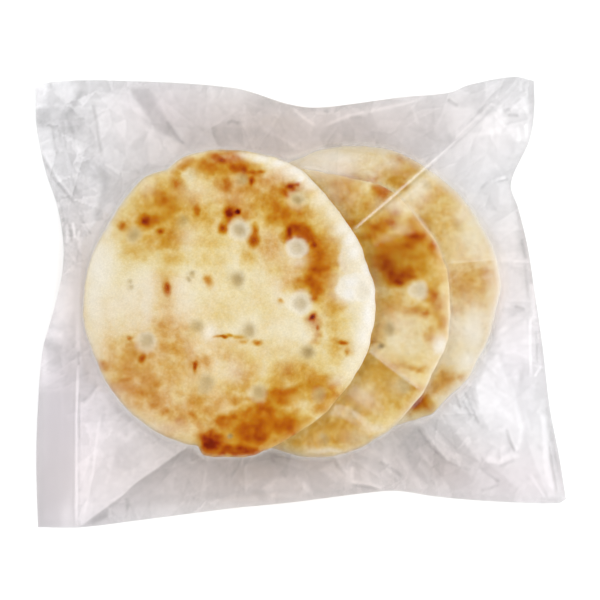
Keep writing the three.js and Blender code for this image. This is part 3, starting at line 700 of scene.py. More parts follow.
def curve_at(pairs, places):
    """A smooth curve through pairs of place and value."""
    known, values = np.array(pairs, dtype=float).T
    before = np.maximum(np.arange(len(pairs)) - 1, 0)
    after = np.minimum(np.arange(len(pairs)) + 1, len(pairs) - 1)
    slopes = (values[after] - values[before]) / (known[after] - known[before])
    start = np.clip(np.searchsorted(known, places) - 1, 0, len(pairs) - 2)
    span = known[start + 1] - known[start]
    t = (places - known[start]) / span
    rise = 3 * t ** 2 - 2 * t ** 3
    first = (t ** 3 - 2 * t ** 2 + t) * span * slopes[start]
    last = (t ** 3 - t ** 2) * span * slopes[start + 1]
    return values[start] * (1 - rise) + values[start + 1] * rise + first + last


def side_points(start, end, pull, places):
    """Points along one side of the bag. A positive pull goes to the left of the way along it."""
    start, end = np.array(start), np.array(end)
    along = (end - start) / np.linalg.norm(end - start)
    inward = np.array((-along[1], along[0]))
    return start + np.outer(places, end - start) + np.outer(pull, inward)


def film_plan(cells):
    """Plan places of a film's grid, stretched between the bag's four sides."""
    u = np.linspace(0, 1, cells[0] + 1)
    v = np.linspace(0, 1, cells[1] + 1)
    bottom = side_points(BOTTOM_LEFT, BOTTOM_RIGHT, curve_at(BOTTOM_PULL, u), u)[:, None, :]
    top = side_points(TOP_LEFT, TOP_RIGHT, -curve_at(TOP_PULL, u), u)[:, None, :]
    left = side_points(BOTTOM_LEFT, TOP_LEFT, -curve_at(LEFT_PULL, v), v)[None, :, :]
    right = side_points(BOTTOM_RIGHT, TOP_RIGHT, curve_at(RIGHT_PULL, v), v)[None, :, :]
    u = u[:, None, None]
    v = v[None, :, None]
    lower_corners = (1 - u) * np.array(BOTTOM_LEFT) + u * np.array(BOTTOM_RIGHT)
    upper_corners = (1 - u) * np.array(TOP_LEFT) + u * np.array(TOP_RIGHT)
    corners = (1 - v) * lower_corners + v * upper_corners
    plan = (1 - v) * bottom + v * top + (1 - u) * left + u * right - corners
    return plan[..., 0], plan[..., 1]


def edge_distance(x, y):
    """Rough distance in mm of each grid point from the bag's closed edge."""
    across = np.minimum(np.hypot(x - x[0], y - y[0]), np.hypot(x - x[-1], y - y[-1]))
    along = np.minimum(
        np.hypot(x - x[:, :1], y - y[:, :1]),
        np.hypot(x - x[:, -1:], y - y[:, -1:]),
    )
    return np.minimum(across, along)


# Film heights

RAY_START = 100
UP = Vector((0, 0, 1))
DOWN = Vector((0, 0, -1))
EDGE_INSET = 0.996
FILL_CELLS = 3


def tree_of(piece):
    mesh = piece.data
    corners = [vertex.co.copy() for vertex in mesh.vertices]
    return BVHTree.FromPolygons(corners, [tuple(face.vertices) for face in mesh.polygons])


def rays(tree, across, along, start, way):
    """Where a straight ray from each place meets a form, and the number of the face that it meets."""
    for place in zip(across.ravel().tolist(), along.ravel().tolist()):
        hit, _, face, _ = tree.ray_cast(Vector((*place, start)), way)
        yield hit, face


def cast(tree, x, y, from_above):
    """Heights in mm at which straight rays meet a form, or nan where they miss."""
    start, way = (RAY_START, DOWN) if from_above else (-RAY_START, UP)
    hits = rays(tree, x * MM, y * MM, start * MM, way)
    heights = [np.nan if hit is None else hit.z / MM for hit, _ in hits]
    return np.array(heights).reshape(x.shape)


def evened(grid, passes):
    """A grid smoothed by repeated means of neighbours, with its border kept."""
    grid = grid.copy()
    for _ in range(passes):
        inner = grid[1:-1, 1:-1] * 4 + grid[:-2, 1:-1] + grid[2:, 1:-1] + grid[1:-1, :-2] + grid[1:-1, 2:]
        grid[1:-1, 1:-1] = inner / 8
    return grid


def grown(mask):
    """A mask grown by one cell on every side."""
    wider = mask.copy()
    wider[1:] |= mask[:-1]
    wider[:-1] |= mask[1:]
    wider[:, 1:] |= mask[:, :-1]
    wider[:, :-1] |= mask[:, 1:]
    return wider


def solid_height(tree, x, y, from_above):
    """Height of the bag's solid over each place, with the misses at its edge filled from inside."""
    height = cast(tree, x * EDGE_INSET, y * EDGE_INSET, from_above)
    for i, j in np.argwhere(np.isnan(height)):
        rows = slice(max(i - FILL_CELLS, 0), i + FILL_CELLS + 1)
        columns = slice(max(j - FILL_CELLS, 0), j + FILL_CELLS + 1)
        height[i, j] = np.nanmean(height[rows, columns])
    return height


# Creases in the upper film

# A crease: its line in picture places, height in mm, and the width of its left and right flank in
# pixels, seen along the line.
CREASES = (
    (((520, 77), (497, 101), (470, 128), (430, 163), (392, 197), (354, 229)), 2.2, 16, 22),
    (((520, 77), (497, 101), (470, 128), (430, 163), (392, 197), (350, 232)), 2.4, 2.2, 2.6),
    (((393, 154), (368, 182), (341, 211)), 0.6, 3, 3), (((399, 229), (366, 248)), 0.6, 3, 3),
    (((115, 88), (133, 98), (150, 115), (168, 133), (188, 150)), 2.4, 12, 34),
    (((78, 528), (122, 496), (138, 481), (165, 462), (195, 445), (238, 408)), 2.8, 34, 9),
    (((84, 520), (96, 457), (100, 418)), 1.2, 7, 9), (((98, 516), (112, 470), (120, 436)), 0.9, 8, 6),
    (((452, 397), (468, 408), (481, 422)), 0.8, 2.5, 3),
    (((446, 402), (462, 416), (476, 432)), 0.7, 2.5, 3),
    (((423, 417), (440, 429), (458, 448), (482, 462), (498, 471), (518, 489)), 1.6, 6, 4),
    (((421, 425), (435, 445), (446, 459), (468, 471), (493, 483)), 1.5, 5, 6),
    (((398, 445), (412, 457), (423, 473), (432, 489)), 1.3, 4, 7),
    (((355, 470), (366, 483), (385, 490)), 0.9, 8, 3),
    (((492, 335), (500, 328), (515, 325), (528, 333)), 1.2, 3, 7),
    (((41, 154), (54, 179), (64, 210)), 0.9, 3, 4),
    (((68, 109), (72, 138), (74, 187), (79, 211)), 1.0, 3, 3),
    (((80, 108), (86, 150), (92, 190), (86, 226)), 0.8, 4, 3),
    (((91, 109), (101, 148), (107, 171), (103, 195), (96, 224)), 1.4, 8, 5),
    (((64, 238), (76, 218), (92, 232)), 0.7, 3, 3), (((78, 210), (93, 232)), 0.6, 2, 3),
    (((69, 104), (83, 91)), 0.7, 3, 5), (((161, 89), (166, 117), (191, 141)), 0.9, 10, 6),
    (((440, 263), (470, 261), (501, 259)), 0.9, 2.5, 5), (((368, 346), (395, 368), (422, 391)), 1.2, 4, 4),
    (((348, 385), (366, 400), (385, 417)), 0.9, 8, 8),
    (((325, 410), (342, 405), (369, 419), (384, 433)), 1.1, 3, 7), (((494, 180), (511, 178)), 1.0, 3, 2),
    (((502, 118), (520, 103)), 0.8, 3, 5), (((482, 457), (494, 466), (520, 460)), 1.4, 10, 4),
    (((505, 345), (512, 390), (519, 430), (516, 458)), 1.0, 5, 16),
    (((528, 345), (522, 390), (530, 450), (549, 499)), 1.0, 5, 5),
)
# Creases along the weld at the left end.
SEAL_LINES = (
    (((77, 530), (76, 420), (77, 356)), 0.5, 1.6, 1.6),
    (((61, 530), (62, 430), (66, 345)), 0.3, 3, 3),
)
FLANK_REACH = 3
ENDS_SLOPE = 6
ENDS_START = 0.15

# Small random creases that run out from the stack towards the bag's edge. Places and lengths are in pixels,
# heights in mm and turns in radians, and the bend is a share of the length.
STACK_COLUMN = 300
STACK_ROW = 305
SMALL_CREASE_SEED = 303
SMALL_CREASE_COUNT = 110
SMALL_CREASE_REACH = (155, 250)
SMALL_CREASE_STRETCH = (1.1, 0.85)
SMALL_CREASE_TURN = 0.55
SMALL_CREASE_LENGTH = (14, 60)
SMALL_CREASE_BEND = 0.12
SMALL_CREASE_HEIGHT = (0.15, 0.7)
SMALL_CREASE_FLANK = (2, 7)


def places_by_line(column, row, line):
    """Distance of each place from a line, which places are on its right, and the share along it."""
    line = np.array(line, dtype=float)
    steps = np.diff(line, axis=0)
    lengths = np.hypot(steps[:, 0], steps[:, 1])
    nearest = np.full(column.shape, np.inf)
    turned = np.zeros(column.shape)
    place = np.zeros(column.shape)
    for start, step, length, walked in zip(line, steps, lengths, np.cumsum(lengths) - lengths):
        from_column, from_row = column - start[0], row - start[1]
        share = np.clip((from_column * step[0] + from_row * step[1]) / length ** 2, 0, 1)
        away = np.hypot(from_column - share * step[0], from_row - share * step[1])
        closer = away < nearest
        nearest = np.where(closer, away, nearest)
        turned = np.where(closer, step[0] * from_row - step[1] * from_column, turned)
        place = np.where(closer, walked + share * length, place)
    return nearest, turned > 0, place / lengths.sum()


def ends_fade(share):
    """1 along a line, fading out at its two ends."""
    return smooth_step(ENDS_SLOPE * share + ENDS_START) * smooth_step(ENDS_SLOPE * (1 - share) + ENDS_START)


def crease_lift(column, row, crease):
    """Height that a crease adds: a sharp ridge along its line, with a flank on each side."""
    line, height, left_width, right_width = crease
    away, on_right, share = places_by_line(column, row, line)
    width = np.where(on_right, right_width, left_width)
    return height * ends_fade(share) * np.clip(1 - away / (FLANK_REACH * width), 0, 1) ** 2


def small_creases():
    """The random creases, each as a crease of three places."""
    draw = np.random.default_rng(SMALL_CREASE_SEED)
    wide, tall = SMALL_CREASE_STRETCH
    creases = []
    for _ in range(SMALL_CREASE_COUNT):
        angle = draw.uniform(0, FULL_TURN)
        reach = draw.uniform(*SMALL_CREASE_REACH)
        column = STACK_COLUMN + reach * wide * np.cos(angle)
        row = STACK_ROW - reach * tall * np.sin(angle)
        way = angle + draw.normal(0, SMALL_CREASE_TURN)
        length = draw.uniform(*SMALL_CREASE_LENGTH)
        bend = draw.normal(0, SMALL_CREASE_BEND) * length
        line = []
        for share in (-0.5, 0, 0.5):
            side = bend * (1 - 4 * share ** 2)
            line.append((
                column + share * length * np.cos(way) + side * np.sin(way),
                row - share * length * np.sin(way) + side * np.cos(way),
            ))
        height = draw.uniform(*SMALL_CREASE_HEIGHT)
        creases.append((line, height, draw.uniform(*SMALL_CREASE_FLANK), draw.uniform(*SMALL_CREASE_FLANK)))
    return tuple(creases)


# Crumpled sheets

# A crumpled sheet is made of random flat facets: their spacing in pixels and the height of their corners
# in mm. They lie in rings about the stack, longer outwards by the stretch. Each facet gets a random painted
# tone, a highlight or shade that stands in for its reflection.
Sheet = namedtuple("Sheet", "seed spacing height")
WIDE_SHEET = Sheet(306, 34, 1.3)
SMALL_SHEET = Sheet(307, 13, 0.32)
SHEET_LIMITS = (-80, 680)
FACET_STRETCH = 1.6
FIRST_RING = 40
LAST_RING = 360
TURN_SHIFT = 0.4
RING_SHIFT = 0.45
SAME_PLACE = 0.01
# Where the painted highlights and shade of the crumpled facets are strongest. The strength is how much
# more.
CRUMPLED_AREAS = patches(
    (72, 150, 34, 60, 1.3), (75, 220, 20, 30, 1.0), (505, 110, 28, 24, 0.8), (440, 430, 40, 30, 0.5),
)
FILM_RIPPLE = Layer(0.5, 60, 301)
FILM_GRAIN = Layer(0.018, 5, 308)
# How strongly the facets' random tones, the wide facets' heights and the fine grain paint highlight and
# shade.
WIDE_TONE = 0.022
WIDE_LIFT_TONE = 0.012
SMALL_TONE = 0.028
CLINGING_TONE_LOSS = 0.6


def crumpled_sheet(sheet):
    """A search tree of a sheet's facets over the picture, and the random painted highlight or shade of each
    facet.
    """
    draw = np.random.default_rng(sheet.seed)
    places = [Vector((column, row)) for column in SHEET_LIMITS for row in SHEET_LIMITS]
    ring_step = FACET_STRETCH * sheet.spacing
    for ring in np.arange(FIRST_RING, LAST_RING, ring_step):
        count = int(FULL_TURN * ring / sheet.spacing)
        turns = (np.arange(count) + draw.uniform(-TURN_SHIFT, TURN_SHIFT, count)) * FULL_TURN / count
        reaches = ring + draw.uniform(-RING_SHIFT, RING_SHIFT, count) * ring_step
        for turn, reach in zip(turns, reaches):
            places.append(Vector((STACK_COLUMN + reach * np.cos(turn), STACK_ROW + reach * np.sin(turn))))
    corners, _, triangles, _, _, _ = delaunay_2d_cdt(places, [], [], 0, SAME_PLACE)
    heights = draw.uniform(-sheet.height, sheet.height, len(corners))
    points = [Vector((place.x, place.y, level)) for place, level in zip(corners, heights)]
    return BVHTree.FromPolygons(points, triangles), draw.uniform(-1, 1, len(triangles))


def facets_at(column, row, sheet):
    """Height and painted tone, highlight or shade by its sign, that a crumpled sheet has at each place."""
    tree, tones = crumpled_sheet(sheet)
    hits = list(rays(tree, column, row, RAY_START, DOWN))
    lift = np.array([hit.z for hit, _ in hits])
    tone = tones[[facet for _, facet in hits]]
    return lift.reshape(column.shape), tone.reshape(column.shape)


def crumple_of(column, row, clinging, weld):
    """Height of the upper film's random ripples and facets, and their painted highlights and shade, lighter
    where a wide facet stands higher.
    """
    wide_lift, wide_tone = facets_at(column, row, WIDE_SHEET)
    small_lift, small_tone = facets_at(column, row, SMALL_SHEET)
    lift = layered(column, row, FILM_RIPPLE) + (wide_lift + small_lift) * (1 - weld)
    tone = WIDE_TONE * wide_tone + WIDE_LIFT_TONE * wide_lift + SMALL_TONE * small_tone
    tone = tone + layered(column, row, FILM_GRAIN)
    more = sum(strength_at(column, row, area) for area in CRUMPLED_AREAS)
    return lift, tone * (1 + more) * (1 - CLINGING_TONE_LOSS * clinging) * (1 - weld)


# Painted highlights and shade of the upper film

# A tone is painted highlight or shade, by its sign: how much lighter or darker than plain film a place is,
# standing in for the reflections, glints and shadows of the crumpled film. A facet is an even area with
# crisp
# edges: its corners in picture places, and its tone.
FACETS = (
    # Upper left
    (((33, 86), (48, 82), (48, 92), (46, 106), (36, 108)), 0.12),
    (((49, 82), (66, 80), (79, 84), (72, 98), (66, 109), (48, 107)), 0.03),
    (((83, 95), (94, 100), (93, 110), (77, 108)), 0.07),
    (((36, 109), (51, 109), (50, 127), (35, 127)), -0.07),
    (((36, 128), (49, 128), (52, 140), (57, 165), (45, 157), (39, 150)), 0.04),
    (((78, 108), (92, 110), (97, 128), (97, 145), (88, 150), (80, 140)), -0.02),
    (((95, 100), (112, 94), (140, 110), (148, 130), (130, 145), (113, 136), (98, 128)), 0.09),
    (((99, 130), (113, 136), (130, 145), (146, 166), (120, 176), (107, 165), (103, 155)), 0.06),
    (((112, 88), (130, 90), (142, 108), (150, 122), (140, 112), (112, 95)), 0.08),
    (((128, 88), (150, 88), (158, 105), (165, 118), (183, 143), (165, 135), (150, 122), (141, 108)), -0.1),
    (((160, 92), (172, 92), (178, 105), (180, 124), (170, 122), (160, 110)), 0.04),
    (((146, 126), (165, 136), (184, 146), (188, 152), (170, 166), (150, 166)), 0.09),
    (((80, 172), (98, 180), (102, 186), (97, 205), (82, 208)), 0.03),
    (((83, 211), (95, 208), (94, 222), (88, 226)), 0.1),
    (((60, 207), (68, 207), (70, 215), (66, 223), (62, 222)), -0.08),
    # Top
    (((208, 87), (216, 88), (216, 101), (211, 101)), 0.06),
    (((292, 108), (326, 112), (322, 122), (316, 127)), 0.03),
    (((335, 122), (371, 112), (377, 128), (372, 146), (322, 149), (320, 135)), -0.08),
    (((188, 126), (262, 128), (300, 152), (260, 152), (230, 147), (190, 146)), -0.06),
    (((376, 128), (432, 128), (444, 142), (432, 160), (400, 152), (374, 146)), -0.05),
    # Upper right
    (((446, 108), (470, 106), (478, 114), (464, 128), (452, 138), (446, 124)), 0.06),
    (((484, 81), (505, 79), (498, 90), (484, 104)), 0.06),
    (((484, 118), (500, 110), (508, 120), (500, 134), (478, 136)), 0.13),
    (((513, 103), (520, 97), (527, 96), (528, 112), (512, 112)), 0.1),
    (((496, 128), (515, 128), (520, 150), (508, 170), (494, 168)), 0.05),
    (((498, 183), (510, 183), (513, 204), (500, 204)), 0.06),
    (((527, 80), (536, 82), (535, 125), (529, 110)), -0.04),
    # Right
    (((512, 204), (519, 204), (528, 244), (529, 256), (525, 262), (518, 240)), -0.05),
    (((530, 284), (536, 284), (538, 318), (532, 320)), 0.12),
    (((494, 313), (505, 308), (517, 306), (525, 310), (505, 322), (498, 335), (492, 348), (484, 352),
      (488, 338)), -0.08), (((500, 338), (527, 320), (528, 360), (516, 382), (508, 372)), 0.06),
    (((495, 352), (502, 345), (508, 372), (516, 402), (506, 382), (498, 366)), 0.06),
    (((532, 328), (543, 328), (545, 366), (533, 366)), -0.03),
    # Lower right
    (((488, 362), (497, 356), (506, 378), (516, 404), (523, 426), (522, 440), (518, 450), (510, 440),
      (504, 432), (490, 430), (480, 412), (474, 392)), 0.12),
    (((480, 428), (504, 432), (509, 446), (500, 456), (484, 458), (478, 446)), 0.08),
    (((483, 456), (500, 458), (512, 450), (518, 456), (500, 465), (486, 463)), 0.12),
    (((445, 412), (480, 425), (480, 461), (462, 440)), 0.06),
    (((398, 446), (416, 426), (432, 446), (446, 462), (440, 486), (424, 484)), -0.08),
    (((430, 420), (441, 418), (462, 441), (478, 461), (470, 464), (452, 450), (442, 436)), -0.08),
    (((418, 421), (428, 420), (442, 440), (456, 456), (447, 461), (430, 441)), 0.05),
    (((380, 446), (388, 446), (428, 486), (424, 492), (404, 476)), 0.06),
    (((482, 466), (520, 460), (530, 478), (526, 500), (480, 498)), -0.02),
    (((541, 415), (546, 418), (550, 460), (557, 497), (549, 497), (543, 460)), 0.11),
    # Bottom
    (((262, 488), (276, 478), (300, 478), (313, 492), (300, 497), (268, 497)), 0.08),
    (((320, 470), (333, 463), (343, 476), (336, 482)), 0.1),
    (((336, 470), (368, 466), (370, 482), (344, 484)), 0.08),
    (((362, 470), (384, 470), (398, 484), (380, 489), (362, 482)), 0.04),
    # Lower left
    (((79, 405), (98, 388), (118, 415), (160, 440), (186, 447), (140, 481), (122, 497), (80, 527)), 0.08),
    (((116, 446), (148, 446), (150, 456), (130, 472), (113, 464)), -0.04),
    (((80, 340), (92, 352), (98, 384), (83, 402), (80, 400)), -0.05),
    (((80, 527), (108, 510), (108, 518), (86, 526)), -0.1),
    (((108, 510), (124, 498), (128, 510), (118, 519), (108, 518)), 0.05),
    (((44, 340), (62, 346), (62, 366), (50, 366)), -0.07),
    (((42, 330), (62, 330), (63, 338), (45, 338)), 0.08),
    (((62, 388), (74, 388), (74, 528), (61, 528)), 0.03),
)
# A crease line of painted glint or shade, by the sign of its tone: its places, its half width in pixels,
# and its tone.
LINES = (
    # Upper left
    (((83, 90), (74, 104), (69, 116)), 3.2, -0.1), (((52, 125), (54, 140), (57, 156)), 1.6, -0.08),
    (((66, 112), (70, 125), (74, 136)), 2, -0.1),
    (((92, 102), (97, 122), (99, 140), (103, 157)), 1.8, -0.12),
    (((100, 163), (106, 178), (104, 196), (97, 222)), 4, -0.1),
    (((84, 158), (92, 171), (99, 181)), 3, -0.07), (((104, 164), (112, 168), (120, 174)), 1.6, 0.1),
    (((44, 154), (58, 178), (72, 196)), 1.8, 0.08),
    (((40, 152), (48, 168), (57, 182), (66, 193), (77, 207)), 1.8, -0.15),
    (((80, 214), (85, 224), (92, 236)), 1.6, -0.13), (((78, 210), (90, 232)), 1.5, 0.1),
    (((73, 222), (75, 239)), 1.5, 0.22), (((67, 224), (67, 244)), 2, 0.14),
    (((71, 228), (72, 243)), 1.6, -0.1), (((79, 230), (78, 241)), 1.4, 0.15),
    (((68, 150), (75, 172), (84, 175)), 1.6, -0.07), (((72, 178), (77, 192)), 1.6, -0.08),
    (((62, 120), (66, 150)), 1.6, -0.06), (((76, 145), (84, 160)), 1.6, 0.07),
    (((70, 140), (73, 160)), 1.5, -0.06), (((166, 120), (184, 145)), 2.5, -0.08),
    (((118, 198), (97, 228), (82, 262), (76, 300), (81, 340), (96, 378), (119, 412)), 7, 0.13),
    # Top
    (((291, 107), (303, 117), (317, 127)), 1.8, 0.1), (((226, 124), (232, 121), (240, 124)), 2.2, -0.12),
    (((317, 128), (333, 122), (350, 115), (372, 111), (395, 106), (428, 97)), 2, 0.08),
    (((349, 117), (362, 117)), 2, -0.06), (((322, 147), (346, 145)), 2.4, -0.08),
    (((412, 104), (418, 125)), 2, 0.06), (((324, 111), (329, 112)), 2, -0.1),
    (((260, 128), (290, 142), (300, 151)), 3, 0.05), (((433, 104), (433, 126)), 2, -0.05),
    (((244, 104), (246, 130)), 2, 0.04),
    (((240, 97), (290, 108), (320, 109), (360, 105), (405, 98)), 5, -0.07),
    # Upper right
    (((519, 79), (497, 100), (480, 116), (466, 128), (450, 144)), 2, 0.1),
    (((456, 141), (444, 152), (430, 164)), 1.8, 0.14), (((436, 159), (392, 197), (350, 233)), 1.8, 0.28),
    (((505, 84), (490, 98), (478, 113), (466, 126)), 1.4, -0.06),
    (((513, 84), (494, 104), (482, 118)), 1.4, -0.06), (((434, 164), (394, 199), (356, 231)), 1.5, -0.2),
    (((432, 157), (388, 195), (346, 231)), 2, -0.08), (((438, 170), (418, 187), (394, 207)), 2, 0.1),
    (((447, 99), (452, 103), (458, 107)), 1.8, -0.12), (((503, 112), (510, 109)), 1.5, -0.14),
    (((507, 115), (519, 116)), 1.5, -0.12), (((513, 104), (521, 98)), 1.6, -0.1),
    (((518, 126), (519, 142)), 2, 0.1), (((526, 124), (527, 138)), 1.6, 0.08),
    (((490, 183), (498, 179), (507, 177)), 1.6, 0.07), (((497, 182), (509, 179)), 1.4, -0.1),
    (((480, 190), (488, 182)), 1.5, -0.06), (((521, 80), (521, 92)), 1.6, 0.08),
    (((524, 80), (524, 93)), 2.5, -0.08),
    # Right
    (((521, 238), (526, 260)), 2, -0.1), (((514, 306), (525, 310)), 2, -0.1),
    (((530, 316), (530, 350), (531, 378)), 1.8, 0.12), (((536, 330), (537, 364)), 1.4, -0.08),
    (((534, 377), (542, 365)), 1.5, 0.1), (((525, 262), (528, 300)), 1.6, -0.05),
    # Lower right
    (((416, 425), (430, 446), (447, 462)), 2, -0.1), (((378, 461), (394, 470), (403, 478)), 2, -0.1),
    (((455, 393), (461, 411)), 1.5, -0.12), (((462, 400), (471, 416)), 1.5, -0.1),
    (((464, 390), (472, 408), (480, 426)), 1.5, -0.12), (((506, 428), (509, 438), (515, 453)), 1.6, -0.14),
    (((510, 430), (517, 452)), 1.4, 0.1), (((482, 463), (500, 465), (518, 459)), 2, -0.08),
    (((445, 461), (472, 471)), 1.7, -0.08), (((478, 466), (500, 483)), 1.8, -0.1),
    (((480, 491), (500, 485)), 1.8, -0.08), (((548, 440), (557, 496)), 1.5, -0.12),
    (((545, 400), (552, 440), (560, 478)), 2.5, -0.08), (((530, 474), (546, 499)), 1.6, 0.1),
    # Bottom
    (((352, 466), (352, 479)), 2.2, 0.1), (((350, 481), (370, 484), (383, 489)), 1.8, 0.1),
    (((350, 485), (380, 489)), 1.6, -0.08),
    (((125, 504), (200, 497), (260, 493), (320, 491), (385, 489)), 5, -0.06),
    (((360, 444), (380, 456), (398, 470)), 3.5, 0.07),
    # Lower left
    (((78, 362), (76.5, 420), (76.5, 528)), 1.6, 0.2), (((79, 285), (78, 366)), 1.6, 0.05),
    (((83, 520), (92, 480), (97, 440), (101, 412)), 1.6, 0.07), (((103, 404), (103, 430)), 3, -0.05),
    (((117, 432), (127, 440), (135, 430)), 2.5, 0.06), (((81, 403), (90, 395), (98, 383)), 2, -0.1),
    (((78.5, 350), (78.5, 366)), 1.5, -0.15), (((79, 390), (79, 440)), 1.2, -0.1),
    (((127, 497), (127, 512)), 2, -0.08),
)
# A fold paints highlight or shade, by the sign of its tone, on one side of a line: its line, the side of
# the line that takes the tone (-1 left, 1 right, seen along the line), how far the tone reaches in pixels,
# and its tone.
LOW_LEFT_FOLD = ((79, 527), (122, 496), (137, 482), (155, 470), (191, 444), (210, 432))
STACK_FOLD = ((363, 347), (393, 371), (422, 392))
FOLDS = (
    (LOW_LEFT_FOLD, -1, 10, 0.04), (LOW_LEFT_FOLD, 1, 16, -0.12),
    (((446, 264), (470, 262), (499, 260)), -1, 8, 0.18),
    (STACK_FOLD, -1, 6, 0.32), (STACK_FOLD, 1, 14, -0.06),
)
# A band of painted highlight on the film over the breads: its line, half width in pixels, and tone.
BANDS = (
    (((348, 387), (366, 400), (385, 415)), 6, 0.09),
    (((328, 408), (344, 412), (358, 420), (376, 434)), 6, 0.16),
    (((388, 160), (368, 182), (345, 207)), 3, 0.05),
    (((405, 202), (413, 210), (423, 224), (434, 240), (441, 258)), 1.5, 0.1),
)
# Soft areas of painted highlight and shade, such as the shadow under and beside the breads. The strength is
# their tone.
AREAS = patches(
    (264, 112, 10, 8, -0.05), (480, 113, 4, 3, -0.1), (451, 140, 5, 4, -0.12), (446, 147, 5, 4, -0.08),
    (280, 455, 22, 7, -0.12), (230, 460, 40, 7, -0.06), (44, 365, 4, 12, 0.1), (66, 515, 5, 12, 0.06),
    (300, 128, 80, 18, -0.04), (250, 468, 60, 12, -0.05), (330, 470, 50, 12, -0.03),
    (70, 280, 10, 40, 0.04), (346, 163, 26, 9, 0.12), (464, 226, 20, 26, 0.02), (88, 185, 26, 26, 0.05),
    (535, 475, 18, 24, 0.05), (478, 136, 14, 16, 0.04), (510, 97, 10, 10, 0.04), (455, 465, 26, 26, -0.04),
    (312, 170, 20, 9, 0.28), (413, 203, 12, 9, 0.12), (428, 186, 9, 9, 0.12), (332, 196, 8, 10, 0.12),
    (401, 230, 9, 5, 0.16), (391, 264, 18, 18, -0.14), (386, 239, 8, 5, 0.13), (376, 246, 5, 4, 0.08),
    (265, 485, 80, 16, -0.045), (503, 286, 6, 26, 0.12), (494, 200, 12, 20, -0.08), (240, 147, 24, 6, 0.12),
    (462, 325, 16, 16, 0.05), (486, 282, 8, 14, 0.04), (360, 440, 12, 8, -0.1), (500, 325, 6, 12, 0.08),
    (432, 432, 18, 14, -0.07), (512, 470, 22, 18, 0.06), (60, 308, 7, 22, 0.07), (298, 154, 20, 7, 0.1),
    (64, 232, 6, 16, -0.06), (516, 345, 10, 18, -0.03), (40, 420, 5, 90, -0.03),
)
FACET_EDGE = 6.0
FOLD_EDGE = 2.4
BAND_EDGE = 5
CREASE_TONE = 0.06
CREASE_TONE_REACH = 0.7


def edge_step(inside, width):
    """0 outside an edge and 1 inside it, changing over this width."""
    return smooth_step(0.5 + inside / width)


def facet_tone(column, row, facet):
    """Painted tone of a facet, highlight or shade by its sign: even inside its corners, with a narrow soft
    edge.
    """
    corners, amount = facet
    away, _, _ = places_by_line(column, row, corners + corners[:1])
    inside = np.zeros(column.shape, dtype=bool)
    for (column_a, row_a), (column_b, row_b) in zip(corners, corners[1:] + corners[:1]):
        if row_a == row_b:
            continue
        crossing = column_a + (row - row_a) * (column_b - column_a) / (row_b - row_a)
        inside ^= ((row_a > row) != (row_b > row)) & (column < crossing)
    return amount * edge_step(np.where(inside, away, -away), FACET_EDGE)


def line_tone(column, row, crease):
    """Painted glint or shade of a thin crease line, by its sign, strongest along its middle."""
    line, half_width, amount = crease
    away, _, share = places_by_line(column, row, line)
    return amount * ends_fade(share) * np.exp(-(away / half_width) ** 2)


def fold_tone(column, row, fold):
    """Painted tone of a fold, highlight or shade by its sign: crisp at its line and fading away on the side
    that it is on.
    """
    line, side, reach, amount = fold
    away, on_right, share = places_by_line(column, row, line)
    signed = np.where(on_right == (side > 0), away, -away)
    fading = np.exp(-np.maximum(signed, 0) / reach)
    return amount * ends_fade(share) * edge_step(signed, FOLD_EDGE) * fading


def band_tone(column, row, band):
    """Painted highlight of a band: even across its width, with soft edges."""
    line, half_width, amount = band
    away, _, share = places_by_line(column, row, line)
    return amount * ends_fade(share) * edge_step(half_width - away, BAND_EDGE)


def crease_folds(creases):
    """A painted highlight on the left flank and painted shade on the right flank of each crease, as folds.
    """
    folds = []
    for line, height, left_width, right_width in creases:
        folds.append((line, -1, CREASE_TONE_REACH * left_width, CREASE_TONE * height))
        folds.append((line, 1, CREASE_TONE_REACH * right_width, -CREASE_TONE * height))
    return tuple(folds)


def painted_light_and_shade(column, row, creases):
    """The painted highlights and shade that facets, lines, folds, bands and areas add up to."""
    tone = np.zeros_like(column)
    marks_by_kind = (
        (facet_tone, FACETS), (line_tone, LINES), (fold_tone, FOLDS + crease_folds(creases)),
        (band_tone, BANDS), (strength_at, AREAS),
    )
    for tone_of, marks in marks_by_kind:
        for mark in marks:
            tone = tone + tone_of(column, row, mark)
    return tone


# Looks of the upper film

# Where the clear film is pinkish.
PINK_AREAS = patches(
    (55, 430, 60, 120, 1.0), (500, 482, 70, 24, 0.8), (165, 105, 30, 20, 0.8), (520, 340, 30, 50, 0.6),
)
# Where the film has a painted warm glow, darker than plain film, for the light that the breads throw onto
# it.
PAINTED_BOUNCE_AREAS = patches(
    (310, 125, 120, 34, 1.0), (290, 480, 150, 34, 1.0), (440, 465, 34, 26, 0.9), (515, 262, 26, 46, 0.6),
    (76, 290, 14, 60, 0.6),
)
COOL_TINT = (0.973, 0.973, 0.99)
PINK_TINT = (0.987, 0.951, 0.984)
PAINTED_BOUNCE_TINT = (0.97, 0.908, 0.892)

WELD_COLUMN_FALL = (78, 4)
WELD_ROW_RISE = (384, 12)
WELD_SHADE = 0.05
EDGE_SHADE = 0.05
EDGE_WIDTH = 4.0
SHARPENING_PASSES = 2

# Film off the breads: how far it dims the floor, how bright the floor is through it, its gloss and haze.
PLAIN_DIM = 0.17
FLOOR_THROUGH = 0.83
MOST_DIM = 0.6
PLAIN_GLOSS = 0.5
# Extra gloss that paints a highlight where the tone is lighter than clear film can show.
HIGHLIGHT_GLOSS = 8
PLAIN_HAZE = 0.008
# Film on a bread, where painted shade dims it and a painted highlight makes it milky and glossier.
BREAD_DIM = 0.7
MOST_BREAD_DIM = 0.3
MOST_MILKY = 0.6
BREAD_GLOSS = 0.02
MILKY_GLOSS = 1.5
MILKY_HAZE = 0.75

